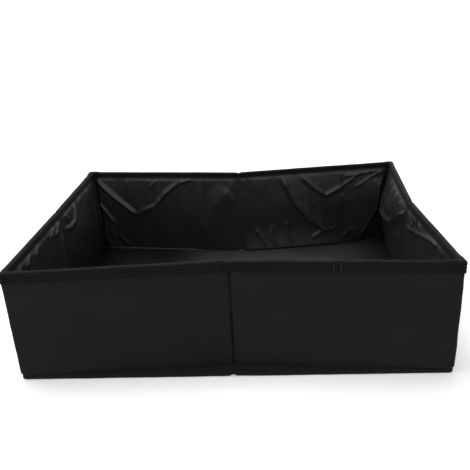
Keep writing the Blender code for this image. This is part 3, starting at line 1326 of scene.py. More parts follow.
    def stitches(self, half: WallHalf, halves: dict[str, WallHalf]) -> Object:
        """Makes the two rows of stitches, which come out through the tape and the lining.

        Args:
            half: The half wall.
            halves: All half walls by name.

        Returns:
            The stitches, as one object.
        """
        count = int((half.length - self.last_stitch - self.wrap_reach) / self.stitch_pitch)
        outer = self.row_dip - self.proud - self.stitch_sunk
        upper, lower = self.plan.stitch_drops
        rows = [(outer, upper), (outer, lower), (self.plan.wall - outer, upper)]
        stitches = []
        for depth, drop in rows + [(self.plan.wall + self.stitch_out, lower)]:
            for number in range(count):
                along = self.wrap_reach + number * self.stitch_pitch
                seed = Vector([self.stitch_seed * value for value in (along, drop, depth)])
                lean = self.stitch_lean * noise.noise(seed)
                stitches.append(((along, depth, self.plan.rim - drop), lean))
        obj = self.sew("binding_stitches_" + half.name, half, stitches, self.stitch)
        return ride_fold(obj, half, halves)

    def corner(self, name: str, first: WallHalf, last: WallHalf) -> Object:
        """Makes the tape folded round one corner of the rim.

        Args:
            name: The corner's name.
            first: Half wall on which the cloth starts.
            last: Half wall on which it ends.

        Returns:
            The tape.
        """
        top = self.plan.base_top + self.plan.rim - self.top_band

        def place(across: float, over: float) -> Vector:
            """Point of the tape at shares of its length and of the way over the rim."""
            swell = self.wrap_swell * (1 - smooth(*self.wrap_edge, abs(2 * across - 1)))
            depth, height = self.section(over, swell)
            radius = mix(*self.corner_rounds, fall(self.plan.wall, depth))
            point = round_corner(first, last, across, depth, height, self.wrap_reach, radius)
            return point + UP * self.wrap_waves * ripple(point, self.wrap_wave_size)

        def outward(centre: Vector) -> Vector:
            """Outward direction at a point."""
            return UP if centre.z > top else Vector()

        cut = (2 * (self.wrap_reach + self.plan.wall / 2), self.arc())
        obj = self.cloth("rim_corner_tape_" + name, place, cut, outward, self.wrap_cell)
        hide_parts("rim_corner_" + name)
        "corner_seam_" + name
        return bend_corner(obj, last, self.plan)

    def lap(self, half: WallHalf) -> Object:
        """Makes the short end of tape lapped over itself, with its two bar tacks.

        Args:
            half: The half wall.

        Returns:
            The lap.
        """

        def place(across: float, over: float) -> Vector:
            """Point of the tape at shares of its length and of the way over the rim."""
            thinned = smooth(*self.lap_edge, abs(2 * across - 1))
            swell = self.thickness * mix(self.lap_thinned, 1.0, 1 - thinned)
            along = self.lap_at + self.lap_width * (across - 0.5)
            return half.at(along, *self.section(over, swell))

        def outward(centre: Vector) -> Vector:
            """Outward direction at a point."""
            return centre - half.at(self.lap_at, self.plan.wall / 2, self.core())

        cut = (self.lap_width + 2 * self.lap_hem, self.arc())
        obj = self.cloth("binding_lap", place, cut, outward, self.lap_cell)
        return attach(obj, half.name)

    def tacks(self, half: WallHalf) -> Object:
        """Makes the close zigzag stitches across both ends of the lap.

        Args:
            half: The half wall.

        Returns:
            The stitches, as one object.
        """
        length, width, height = self.stitch
        foot = self.plan.binding_foot + self.tack_foot
        depth = -self.proud - self.thickness + self.tack_sunk
        stitches = []
        for side in (-1, 1):
            along = self.lap_at + side * (self.lap_width / 2 - self.tack_inset)
            for number in range(self.tack_count):
                lean = self.tack_lean if number % 2 else -self.tack_lean
                stitches.append(((along, depth, foot + number * self.tack_pitch), lean))
        size = (length * self.tack_length, width, height)
        obj = self.sew("binding_bar_tacks", half, stitches, size)
        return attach(obj, half.name)


BACK_LEFT_FOLDS = (
    Fold(((0.02, 1.00), (0.15, 0.74), (0.29, 0.51)), 0.0036, 0.0058, 0.0034),
    Fold(((0.28, 0.50), (0.36, 0.60), (0.43, 0.66), (0.50, 0.82), (0.60, 0.98)),
         0.0034, 0.0055, 0.0034),
    Fold(((0.60, 0.97), (0.68, 1.01)), 0.0022, 0.0040, 0.0030),
    Fold(((0.01, 0.72), (0.06, 0.57), (0.12, 0.38)), 0.0026, 0.0046, 0.0030),
    Fold(((0.94, 0.90), (0.85, 0.70), (0.77, 0.36), (0.75, 0.05)), 0.0030, 0.030, 0.018),
    Fold(((0.13, 0.22), (0.20, 0.04)), 0.0016, 0.004, 0.004),
    Fold(((0.34, 0.30), (0.30, 0.16), (0.31, 0.02)), 0.0014, 0.006, 0.004),
    Fold(((0.24, 1.00), (0.22, 0.90)), 0.0014, 0.004, 0.003),
    Fold(((0.44, 1.00), (0.40, 0.91)), 0.0014, 0.004, 0.003),
    Fold(((0.05, 0.44), (0.04, 0.22), (0.07, 0.02)), 0.0016, 0.003, 0.003),
    Fold(((0.10, 0.36), (0.09, 0.14)), 0.0014, 0.003, 0.003),
    Fold(((0.07, 0.32), (0.12, 0.20)), 0.0012, 0.003, 0.003),
    Fold(((0.05, 0.30), (0.11, 0.44)), 0.0012, 0.003, 0.003),
)
BACK_RIGHT_FOLDS = (
    Fold(((0.72, 1.00), (0.63, 0.62), (0.54, 0.40), (0.40, 0.18)), 0.0036, 0.005, 0.016),
    Fold(((0.58, 1.00), (0.51, 0.86), (0.43, 0.73)), 0.0034, 0.0062, 0.0036),
    Fold(((0.43, 0.72), (0.38, 0.77), (0.32, 0.83)), 0.0030, 0.0054, 0.0036),
    Fold(((0.03, 1.01), (0.12, 0.93), (0.23, 0.80)), 0.0020, 0.0034, 0.0026),
    Fold(((0.19, 1.01), (0.24, 0.93), (0.31, 0.83)), 0.0015, 0.0034, 0.0026),
    Fold(((0.08, 1.01), (0.20, 0.98), (0.30, 0.96)), 0.0014, 0.0030, 0.0026),
    Fold(((0.05, 0.92), (0.08, 0.48), (0.20, 0.02)), 0.0048, 0.040, 0.0028),
    Fold(((0.035, 0.98), (0.08, 0.48), (0.20, 0.02)), 0.0024, 0.0026, 0.0018),
    Fold(((0.022, 0.60), (0.03, 0.40), (0.02, 0.03)), 0.0022, 0.003, 0.0026),
    Fold(((0.90, 0.30), (0.86, 0.18), (0.84, 0.06)), 0.0020, 0.005, 0.004),
    Fold(((0.78, 0.34), (0.80, 0.22), (0.76, 0.05)), 0.0018, 0.005, 0.004),
    Fold(((0.69, 0.40), (0.68, 0.25), (0.65, 0.08)), 0.0022, 0.005, 0.004),
    Fold(((0.52, 0.12), (0.45, 0.22), (0.36, 0.25)), 0.0022, 0.005, 0.004),
    Fold(((0.30, 0.10), (0.26, 0.22), (0.19, 0.19)), 0.0022, 0.005, 0.004),
    Fold(((0.32, 0.72), (0.26, 0.60)), 0.0012, 0.005, 0.004),
)
LEFT_FRONT_FOLDS = (
    Fold(((0.99, 0.98), (0.92, 0.80), (0.88, 0.52), (0.86, 0.20)), 0.0022, 0.014, 0.003),
    Fold(((0.93, 1.02), (0.88, 0.95), (0.82, 0.93)), 0.0022, 0.004, 0.003),
    Fold(((0.82, 1.02), (0.78, 0.97), (0.73, 0.96)), 0.0018, 0.004, 0.003),
    Fold(((0.52, 1.03), (0.47, 0.97), (0.42, 0.95)), 0.0014, 0.004, 0.003),
    Fold(((0.36, 1.03), (0.31, 0.97), (0.26, 0.95)), 0.0014, 0.004, 0.003),
    Fold(((0.22, 1.03), (0.17, 0.96), (0.12, 0.94)), 0.0014, 0.004, 0.003),
    Fold(((0.60, 0.62), (0.58, 0.40), (0.52, 0.16)), 0.0016, 0.014, 0.012),
    Fold(((0.14, 0.86), (0.18, 0.56), (0.16, 0.20)), 0.0012, 0.005, 0.005),
)
LEFT_BACK_FOLDS = (
    Fold(((0.98, 0.88), (0.88, 0.84), (0.76, 0.85), (0.69, 0.93), (0.64, 1.02)),
         0.0024, 0.006, 0.004),
    Fold(((0.90, 1.02), (0.88, 0.95), (0.84, 0.92)), 0.0014, 0.004, 0.003),
    Fold(((0.49, 1.03), (0.49, 0.86), (0.50, 0.76)), 0.0014, 0.004, 0.003),
    Fold(((0.40, 1.03), (0.39, 0.84), (0.41, 0.72)), 0.0014, 0.004, 0.003),
    Fold(((0.30, 1.03), (0.30, 0.84), (0.28, 0.66)), 0.0014, 0.004, 0.003),
    Fold(((0.19, 0.86), (0.22, 0.66), (0.30, 0.46)), 0.0024, 0.005, 0.003),
    Fold(((0.18, 1.02), (0.14, 0.72), (0.13, 0.40)), 0.0024, 0.0036, 0.0024),
    Fold(((0.06, 1.02), (0.07, 0.60), (0.05, 0.20)), 0.0020, 0.0030, 0.0022),
    Fold(((0.24, 0.46), (0.26, 0.26), (0.22, 0.08)), 0.0018, 0.0040, 0.0026),
    Fold(((0.92, 0.60), (0.84, 0.34), (0.82, 0.06)), 0.0018, 0.010, 0.008),
    Fold(((0.48, 0.40), (0.62, 0.34), (0.70, 0.36)), 0.0014, 0.004, 0.004),
)
RIGHT_FRONT_FOLDS = (
    Fold(((0.99, 0.84), (0.84, 0.86), (0.56, 0.95), (0.30, 1.03)), 0.0022, 0.0030, 0.0050),
    Fold(((0.94, 1.01), (0.88, 0.94), (0.82, 0.92)), 0.0014, 0.004, 0.003),
    Fold(((0.72, 1.01), (0.66, 0.96)), 0.0012, 0.004, 0.003),
    Fold(((0.98, 0.74), (0.95, 0.40), (0.96, 0.05)), 0.0030, 0.010, 0.008),
    Fold(((0.70, 0.60), (0.68, 0.25), (0.70, 0.04)), 0.0018, 0.016, 0.012),
    Fold(((0.40, 0.60), (0.38, 0.25), (0.42, 0.04)), 0.0016, 0.016, 0.012),
)
RIGHT_BACK_FOLDS = (
    Fold(((0.99, 0.98), (0.88, 0.84), (0.79, 0.75), (0.66, 0.66)), 0.0056, 0.009, 0.0036),
    Fold(((0.66, 0.66), (0.44, 0.62), (0.20, 0.60)), 0.0030, 0.012, 0.005),
    Fold(((0.80, 1.01), (0.77, 0.84), (0.72, 0.74)), 0.0026, 0.005, 0.003),
    Fold(((0.62, 1.01), (0.60, 0.80), (0.56, 0.68)), 0.0028, 0.005, 0.0035),
    Fold(((0.46, 1.01), (0.48, 0.80), (0.46, 0.66)), 0.0026, 0.005, 0.0035),
    Fold(((0.32, 1.01), (0.32, 0.76), (0.30, 0.60)), 0.0026, 0.005, 0.003),
    Fold(((0.18, 1.01), (0.19, 0.70), (0.14, 0.30)), 0.0022, 0.004, 0.003),
    Fold(((0.70, 0.52), (0.68, 0.25), (0.70, 0.04)), 0.0018, 0.012, 0.010),
    Fold(((0.40, 0.46), (0.42, 0.05)), 0.0018, 0.010, 0.008),
)
FRONT_LEFT_FOLDS = (
    Fold(((0.20, 1.00), (0.34, 0.66), (0.50, 0.60), (0.66, 1.00)), 0.0034, 0.007, 0.004),
    Fold(((0.96, 0.94), (0.86, 0.50), (0.88, 0.06)), 0.0026, 0.014, 0.009),
    Fold(((0.30, 0.40), (0.36, 0.20), (0.34, 0.04)), 0.0020, 0.008, 0.006),
    Fold(((0.04, 0.96), (0.10, 0.74), (0.18, 0.58)), 0.0026, 0.005, 0.004),
    Fold(((0.80, 1.00), (0.76, 0.86)), 0.0018, 0.004, 0.003),
)
FRONT_RIGHT_FOLDS = (
    Fold(((0.30, 1.00), (0.42, 0.78), (0.46, 0.52), (0.40, 0.30)), 0.0030, 0.006, 0.005),
    Fold(((0.76, 1.02), (0.66, 0.82), (0.52, 0.76)), 0.0026, 0.005, 0.004),
    Fold(((0.97, 0.90), (0.92, 0.56), (0.80, 0.30), (0.78, 0.06)), 0.0024, 0.012, 0.008),
    Fold(((0.06, 0.98), (0.14, 0.86), (0.16, 0.66)), 0.0022, 0.005, 0.004),
    Fold(((0.14, 0.30), (0.24, 0.22), (0.26, 0.04)), 0.0020, 0.007, 0.005),
    Fold(((0.60, 0.36), (0.64, 0.18), (0.62, 0.04)), 0.0016, 0.006, 0.005),
)


@dataclass(frozen=True)
class Drape:
    """How the lining hangs on one half wall.

    Slump is how far it slants in under the rim, pouch how far it opens below its stitches, gather
    the height of its small pleats there, and crumple the height of its crumples. Flare is how far
    its foot spreads over the base, beyond a share of the way from the corner.
    """

    folds: tuple[Fold, ...]
    slump: float
    pouch: float
    gather: float
    crumple: float
    cell: float
    flare: float = 0.0
    flare_from: float = 0.0


DRAPES = {
    "back_left": Drape(BACK_LEFT_FOLDS, 0.0016, 0.0015, 0.0005, 0.0002, 0.0011, 0.0030, 0.60),
    "back_right": Drape(BACK_RIGHT_FOLDS, 0.0012, 0.0015, 0.0005, 0.0002, 0.0011, 0.0060, 0.12),
    "left_front": Drape(LEFT_FRONT_FOLDS, 0.0012, 0.0004, 0.0013, 0.0009, 0.0013),
    "left_back": Drape(LEFT_BACK_FOLDS, 0.0050, 0.0004, 0.0011, 0.0008, 0.0013),
    "right_front": Drape(RIGHT_FRONT_FOLDS, 0.0016, 0.0004, 0.0009, 0.0006, 0.0013),
    "right_back": Drape(RIGHT_BACK_FOLDS, 0.0130, 0.0006, 0.0011, 0.0008, 0.0013),
    "front_left": Drape(FRONT_LEFT_FOLDS, 0.0016, 0.0012, 0.0008, 0.0008, 0.0020),
    "front_right": Drape(FRONT_RIGHT_FOLDS, 0.0018, 0.0012, 0.0008, 0.0008, 0.0020),
}


@dataclass
class Lining:
    """The glossy lining, hanging in folds on the walls and lying on the base.

    Fields that end in seed or seeds only pick another part of a noise.
    """

    plan: RingPlan
    finishes: Finishes
    slack: float = 0.0026
    slack_power: float = 0.8
    slack_spread: Span = (0.55, 0.60)
    slack_size: float = 0.085
    hem_puff: float = 0.3
    hem_broken: float = 0.020
    hem_spread: Span = (0.4, 1.4)
    hem_seed: float = 2.0
    slump_at: float = 0.60
    slump_power: float = 1.3
    slump_ends: float = 0.7
    slump_uneven: float = 0.25
    slump_size: float = 0.070
    pouch_drop: float = 0.0024
    pouch_low: float = 0.2
    gather_width: float = 0.0050
    gather_drop: float = 0.016
    gather_top: float = 0.002
    gather_seeds: Triple = (60.0, 0.3, 4.0)
    fine_gathers: float = 0.5
    fine_width: float = 2.3
    crumple_size: float = 0.034
    crumple_top: float = 0.006
    fine_crumples: float = 0.25
    fine_size: float = 0.4
    fine_seed: float = 3.0
    crossing: float = 0.35
    cove: float = 0.0022
    foot_sunk: float = 0.0004
    corner_ease: float = 0.008
    fold_ease: float = 0.011
    fold_pinch: float = 0.3
    fold_pinch_reach: float = 0.004
    seam_reach: float = 0.0016
    joint_from: float = 0.8
    skin: float = 0.00005
    strip_reach: float = 0.009
    strip_overlap: float = 0.003
    strip_cell: float = 0.0012
    strip_sunk: float = 0.0003
    strip_edge: Span = (0.55, 1.0)
    strip_skin: float = 0.00008
    flare_height: float = 0.036
    flare_start: float = 0.30
    flattened: float = 0.10
    thickness: float = 0.00035
    tuck: float = 0.0035
    floor_cell: float = 0.0030
    floor_waves: float = 0.0009
    floor_raised: float = 0.6
    floor_size: float = 0.070
    floor_creases: float = 0.20
    floor_seed: float = 5.0
    floor_edge: Span = (0.012, 0.03)
    floor_gap: float = 0.0001
    ridge: float = 0.0012
    ridge_reach: float = 0.006
    ridge_power: float = 1.5
    hinge_reach: float = 0.006
    floor_shares: Span = (0.93, 0.90)

    def build(self, halves: dict[str, WallHalf]) -> list[Object]:
        """Makes the lining of the half walls, the side folds and both halves of the base."""
        pieces = [self.wall(half, halves) for half in halves.values()]
        for side in ("left", "right"):
            pieces.append(self.strip(side, halves[side + "_front"], halves[side + "_back"]))
        return pieces + [self.floor(name, turn) for name, turn in BASE_HALVES]

    def hang(self, half: WallHalf, along: float, height: float) -> float:
        """How far the lining stands into the box from its flat face, at a place on a wall.

        Args:
            half: The half wall.
            along: Distance from its corner.
            height: Height over the base.

        Returns:
            The distance, in metres.
        """
        top, row = self.plan.inside_foot, self.plan.rim - self.plan.stitch_drops[1]
        if height >= top:
            return 0.0
        ease = rise(self.corner_ease, along)
        drape = DRAPES[half.name]
        at_hem = half.at(along, 0.0, top) + UP * self.hem_seed
        least, spread = self.hem_spread
        pouch = drape.pouch * max(0.0, least + spread * ripple(at_hem, self.hem_broken, 2))
        if height >= row:
            return self.hem_puff * pouch * math.sin(math.pi * (height - row) / (top - row)) * ease
        under, upward, past = row - height, max(0.0, height / row), half.length - along
        free = rise(self.fold_ease, past)
        stand = self.slackness(half, drape, along, height, upward, free)
        stand += pouch * rise(self.pouch_drop, under) * mix(self.pouch_low, 1.0, upward)
        stand += self.crumples(half, drape, along, height, under)
        stand += free * self.creased(half, drape, along, height)
        stand *= mix(self.fold_pinch, 1.0, rise(self.fold_pinch_reach, past))
        stand *= rise(self.seam_reach, under)
        low = max(0.0, height)
        if low < self.cove:
            stand = stand * rise(self.cove, low)
            stand += self.cove - math.sqrt(self.cove**2 - (self.cove - low) ** 2)
        return stand * ease

    def slackness(
        self, half: WallHalf, drape: Drape, along: float, height: float, upward: float, free: float
    ) -> float:
        """The broad part of how the lining stands: its slack, and its slant from the rim.

        Args:
            half: The half wall.
            drape: How the lining hangs there.
            along: Distance from its corner.
            height: Height over the base.
            upward: Share of the way up to the stitches.
            free: How free the lining is there, from 0 at the middle fold to 1.

        Returns:
            The distance, in metres.
        """
        place = half.at(along, 0.0, height)
        broad = math.sin(math.pi * upward) ** self.slack_power
        least, spread = self.slack_spread
        stand = self.slack * broad * (least + spread * ripple(place + UP, self.slack_size, 2))
        slope = min((1 - upward) / (1 - self.slump_at), upward / self.slump_at)
        slump = drape.slump * (1 - (1 - slope) ** self.slump_power)
        slump *= math.sin(math.pi * clamp(along / half.length, 0.0, 1.0)) ** self.slump_ends
        return stand + slump * (1.0 + self.slump_uneven * ripple(place, self.slump_size, 2)) * free

    def crumples(
        self, half: WallHalf, drape: Drape, along: float, height: float, under: float
    ) -> float:
        """The small part of how the lining stands: pleats under its stitches, and crumples.

        Args:
            half: The half wall.
            drape: How the lining hangs there.
            along: Distance from its corner.
            height: Height over the base.
            under: Distance under the stitches.

        Returns:
            The distance, in metres.
        """
        place = half.at(along, 0.0, height)
        length_seed, seed, fine_seed = self.gather_seeds
        pleat = along / self.gather_width
        gathers = abs(noise.noise(Vector((pleat, half.length * length_seed, seed))))
        fine = noise.noise(Vector((pleat * self.fine_width, fine_seed, half.length)))
        gathers += self.fine_gathers * abs(fine)
        stand = drape.gather * gathers * math.exp(-under / self.gather_drop)
        stand *= rise(self.gather_top, under)
        crumples = creases(place, self.crumple_size) * rise(self.crumple_top, under)
        fine = creases(place + UP * self.fine_seed, self.crumple_size * self.fine_size)
        return stand + drape.crumple * (crumples + self.fine_crumples * fine)

    def creased(self, half: WallHalf, drape: Drape, along: float, height: float) -> float:
        """What the folds and the spread foot add to how the lining stands.

        Args:
            half: The half wall.
            drape: How the lining hangs there.
            along: Distance from its corner.
            height: Height over the base.

        Returns:
            The distance, in metres.
        """
        top = self.plan.binding_foot
        folds = [fold.height(along, height, half.length, top) for fold in drape.folds]
        tallest = max(folds)
        stand = tallest + self.crossing * (sum(folds) - tallest)
        spread = smooth(drape.flare_from, drape.flare_from + self.flare_start, along / half.length)
        return stand + drape.flare * spread * max(0.0, 1 - height / self.flare_height) ** 2

    def wall(self, half: WallHalf, halves: dict[str, WallHalf]) -> Object:
        """Makes the lining of one half wall, which reaches up under the binding.

        Args:
            half: The half wall.
            halves: All half walls by name.

        Returns:
            The cloth.
        """
        low, high = -self.foot_sunk, self.plan.inside_foot + self.tuck
        twin = halves[half.twin]
        short = self.strip_reach - self.strip_overlap if half.fold_pair else 0.0

        def place(across: float, up: float) -> Vector:
            """Point of the cloth at shares of its width and height."""
            height = mix(low, high, up)
            along = mix(0.0, half.length - short, across)
            depth = self.plan.wall + self.hang(half, along, height) - self.skin
            end = half.length if short else half.along_of(half.meets(twin, depth, height))
            moved = (end - half.length) * smooth(self.joint_from, 1.0, across)
            return half.at(along + moved, depth, height)

        cut = (half.length - short, high - low)
        obj = ClothPiece(
            "lining_cloth_" + half.name, self.finishes.lining, place, cut,
            lambda centre: half.inward(), self.thickness, DRAPES[half.name].cell,
        ).build()
        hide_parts("lining_" + half.name)
        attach(obj, half.name)
        end = "back" if half.spot in (Spot.BACK, Spot.SIDE_BACK) else "front"
        face = half.at(half.length / 2, self.plan.wall, 0.0)
        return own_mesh(obj, half.hand.name.lower() + "_" + end + "_corner",
                         axis=tuple(half.inward()), anchor=tuple(face), keep=self.flattened)

    def strip(self, side: str, first: WallHalf, last: WallHalf) -> Object:
        """Makes the lining over the middle fold of a side wall.

        Args:
            side: The side's name.
            first: Half wall on which the cloth starts.
            last: Half wall on which it ends.

        Returns:
            The cloth.
        """
        low, high = -self.foot_sunk, self.plan.inside_foot + self.tuck

        def place(across: float, up: float) -> Vector:
            """Point of the cloth at shares of its width and height."""
            height, off = mix(low, high, up), abs(2 * across - 1)
            half, other = (first, last) if across < 0.5 else (last, first)
            past = self.strip_reach * off
            sink = self.strip_sunk * smooth(*self.strip_edge, off) - self.strip_skin
            depth = self.plan.wall + self.hang(half, half.length - past, height) - sink
            end = half.along_of(half.meets(other, depth, height))
            return half.at(end - past, depth, height)

        cut = (2 * self.strip_reach, high - low)
        obj = ClothPiece(
            "lining_fold_cloth_" + side, self.finishes.lining, place, cut,
            lambda centre: first.inward(), self.thickness, self.strip_cell,
            round((high - low) / DRAPES[first.name].cell),
        ).build()
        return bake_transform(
            obj, first.name, last.name,
            start=first.at(first.length - self.strip_reach, 0.0, 0.0),
            end=last.at(last.length - self.strip_reach, 0.0, 0.0),
        )

    def wall_line(self, turn: int, share: float, inset: float) -> Vector:
        """Point of the line on which the front or back wall stands, at a share from the left.

        Args:
            turn: -1 for the front half of the base and 1 for the back half.
            share: Share of the way from left to right.
            inset: Distance from the wall's outer face inward.

        Returns:
            The point, at height 0.
        """
        bow, draw = self.plan.far_wall(turn)
        reach = self.plan.width / 2 - inset - draw
        across = mix(-reach, reach, share)
        dip = bow * (1 - abs(across) / reach)
        return Vector((across, turn * (self.plan.depth / 2 - inset - dip), 0.0))

    def floor(self, name: str, turn: int) -> Object:
        """Makes the lining of one half of the base.

        Args:
            name: The half's name.
            turn: -1 for the front half of the base and 1 for the back half.

        Returns:
            The cloth.
        """
        plan, near_y = self.plan, turn * self.floor_gap
        inset = plan.wall / 2 + plan.gap
        left = Vector((-(plan.width / 2 - plan.left_bow - inset), near_y, 0.0))
        right = Vector((plan.width / 2 - plan.right_bow - inset, near_y, 0.0))
        far_edge, side_edge = self.floor_edge

        def place(across: float, up: float) -> Vector:
            """Point of the cloth at shares of its width and height."""
            near = left.lerp(right, across)
            far = self.wall_line(turn, across, inset)
            point = near.lerp(far, up)
            inner = rise(far_edge, (far - point).length) * rise(side_edge, min(across, 1 - across))
            waves = self.floor_raised + ripple(point, self.floor_size, 2)
            waves += self.floor_creases * creases(point + UP * self.floor_seed, self.floor_size)
            ridge = self.ridge * max(0.0, 1 - abs(point.x) / self.ridge_reach) ** self.ridge_power
            lift = (self.floor_waves * waves + ridge) * inner
            lift *= rise(self.hinge_reach, (point - near).length)
            return point + UP * (plan.base_top - self.floor_gap + lift)

        cut = ((right - left).length, plan.depth / 2 - inset)
        obj = ClothPiece(
            "floor_lining_cloth_" + name, self.finishes.floor_lining, place, cut, lambda centre: UP,
            self.thickness, self.floor_cell,
        ).build()
        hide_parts("floor_lining_" + name)
        area = cut[0] * cut[1] * self.floor_shares[turn > 0]
        return fold_base(obj)


def fold_base(obj: Object) -> Object:
    """Bakes a base half's cloth in place; it does not bend over the fold across the base."""
    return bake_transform(obj)


@dataclass
class BaseCover:
    """The fabric sewn round the base boards, with a border under the walls."""

    plan: RingPlan
    finishes: Finishes
    cell: float = 0.0021
    edge_round: float = 0.0016
    edge_angles: tuple[float, ...] = (0.0, 0.52, 1.05, math.pi / 2)
    top_steps: tuple[Span, ...] = ((0.2, 0.5), (0.8, 0.5))
    corner_round: float = 0.0045
    corner_ends: float = 0.8
    thickness: float = 0.00055
    crease_half_width: float = 0.0044
    crease_lift: float = 0.0022
    bump_at: float = 0.0070
    bump_half_width: float = 0.0170
    bump_lift: float = 0.0005
    under: Span = (0.2, 0.9)
    waves: float = 0.00045
    wave_size: float = 0.030
    wave_bias: float = 0.4
    under_calm: float = 0.3
    fold_reach: float = 0.012
    border_steps: int = 4
    border_waves: float = 0.0002
    border_size: float = 0.02

    def build(self) -> list[Object]:
        """Makes the covers of both halves."""
        return [self.half(name, turn) for name, turn in BASE_HALVES]

    def outward(self, point: Vector) -> Vector:
        """Direction away from the middle of the base at a point near its edge."""
        reach_x = self.plan.width / 2 - self.corner_round
        reach_y = self.plan.depth / 2 - self.corner_round
        core_x, core_y = clamp(point.x, -reach_x, reach_x), clamp(point.y, -reach_y, reach_y)
        off = Vector((point.x - core_x, point.y - core_y, 0.0))
        return off.normalized() if off.length > TINY else Vector()

    def seam(self, turn: int, point: Vector) -> Vector:
        """Place under the middle of the wall that stands nearest to an edge point.

        Args:
            turn: -1 for the front half of the base and 1 for the back half.
            point: The edge point.

        Returns:
            The place, at the height of the base's upper face.
        """
        plan, inset = self.plan, self.plan.wall / 2
        bow, draw = plan.far_wall(turn)
        reach = plan.width / 2 - inset - draw
        across = clamp(point.x, -reach, reach)
        far_y = plan.depth / 2 - inset - bow * (1 - abs(across) / reach)
        if abs(point.y) > plan.depth / 2 - self.corner_round * self.corner_ends:
            return Vector((across, turn * far_y, plan.base_top))
        side_bow = plan.left_bow if point.x < 0 else plan.right_bow
        gone = min(1.0, abs(point.y) / (plan.depth / 2 - inset))
        side_x = math.copysign(mix(plan.width / 2 - side_bow - inset, reach, gone), point.x)
        return Vector((side_x, turn * min(abs(point.y), far_y), plan.base_top))

    def half(self, name: str, turn: int) -> Object:
        """Makes the cover of one half: underside, round edges and the border on top.

        Args:
            name: The half's name.
            turn: -1 for the front half of the base and 1 for the back half.

        Returns:
            The cloth.
        """
        plan = self.plan
        bm = self.underside(turn)
        edges = [edge for edge in bm.edges if edge.is_boundary and not self._on_fold(edge)]
        for out, up in self.edge_moves():
            edges, verts = self._grow(bm, edges)
            for vert in verts:
                vert.co += self.outward(vert.co) * out + UP * up
        self.border(bm, edges, verts, turn)
        cloth = bm.loops.layers.uv.new("Cloth")
        for vert in bm.verts:
            self._wave(vert, turn)
        for face in bm.faces:
            for loop in face.loops:
                loop[cloth].uv = (loop.vert.co.x, loop.vert.co.y + turn * loop.vert.co.z)
        bmesh.ops.recalc_face_normals(bm, faces=bm.faces)
        turn_out(bm, lambda centre: Vector((0.0, 0.0, centre.z - plan.base_top / 2)))
        obj = add_object("base_cover_cloth_" + name, bm, self.finishes.fabric, self.thickness)
        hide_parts("base_cover_" + name)
        border = 0.5 * plan.far_wall(turn)[0] + plan.wall / 2
        cut = (plan.width + 2 * plan.base_top + 2 * plan.wall,
               plan.depth / 2 + plan.base_top + border)
        "base_board_" + name + "_left"
        "base_board_" + name + "_right"
        return fold_base(obj)

    def underside(self, turn: int) -> BMesh:
        """Makes the flat underside of one half, with its two round corners.

        Args:
            turn: -1 for the front half of the base and 1 for the back half.

        Returns:
            Its mesh.
        """
        inner_x = self.plan.width / 2 - self.edge_round
        inner_y = self.plan.depth / 2 - self.edge_round
        bm = bmesh.new()
        columns, rows = round(2 * inner_x / self.cell), round(inner_y / self.cell)
        bmesh.ops.create_grid(bm, x_segments=columns, y_segments=rows, size=0.5)
        for vert in bm.verts:
            vert.co = Vector((vert.co.x * 2 * inner_x, turn * inner_y * (vert.co.y + 0.5), 0.0))
            self._round_corner(vert, inner_x, inner_y)
        return bm

    def edge_moves(self) -> list[Span]:
        """Steps from the underside round the edge to the top face, as outward and upward."""
        bend, angles = self.edge_round, self.edge_angles
        arc = [(bend * math.sin(angle), bend * (1 - math.cos(angle))) for angle in angles]
        moves = [(last[0] - first[0], last[1] - first[1]) for first, last in zip(arc, arc[1:])]
        moves.append((0.0, self.plan.base_top - 2 * bend))
        return moves + [(-inward * bend, up * bend) for inward, up in self.top_steps]

    def border(self, bm: BMesh, edges: list[BMEdge], verts: list[BMVert], turn: int) -> None:
        """Adds the border, from the top of the edge to the seam under the walls.

        Args:
            bm: The cover's mesh.
            edges: Chain of its free edges.
            verts: Points of that chain.
            turn: -1 for the front half of the base and 1 for the back half.
        """
        targets = {vert.co.to_tuple(6): self.seam(turn, vert.co) for vert in verts}
        for step in range(self.border_steps, 0, -1):
            edges, verts = self._grow(bm, edges)
            reached = {}
            for vert in verts:
                target = targets[vert.co.to_tuple(6)]
                vert.co = vert.co.lerp(target, 1 / step)
                reached[vert.co.to_tuple(6)] = target
            targets = reached

    def _on_fold(self, edge: BMEdge) -> bool:
        """Whether an edge lies on the fold across the base."""
        return all(abs(vert.co.y) < TINY for vert in edge.verts)

    def _round_corner(self, vert: BMVert, inner_x: float, inner_y: float) -> None:
        """Pulls a grid point near a square corner in to the corner's rounding.

        Args:
            vert: The point.
            inner_x: Half the flat underside's width.
            inner_y: Half the flat underside's depth.
        """
        radius = self.corner_round - self.edge_round
        core = Vector((inner_x - radius, inner_y - radius, 0.0))
        off = Vector((abs(vert.co.x), abs(vert.co.y), 0.0)) - core
        if off.x <= 0 or off.y <= 0:
            return
        point = core + off.normalized() * max(off.x, off.y)
        across, along = (math.copysign(point[axis], vert.co[axis]) for axis in range(2))
        vert.co = Vector((across, along, 0.0))

    def _grow(self, bm: BMesh, edges: list[BMEdge]) -> tuple[list[BMEdge], list[BMVert]]:
        """Extrudes an edge chain in place.

        Args:
            bm: The mesh.
            edges: The chain.

        Returns:
            The new chain and its points.
        """
        made = bmesh.ops.extrude_edge_only(bm, edges=edges)["geom"]
        verts = [item for item in made if isinstance(item, BMVert)]
        chosen = set(verts)
        chain = [
            item for item in made
            if isinstance(item, BMEdge) and all(vert in chosen for vert in item.verts)
        ]
        return chain, verts

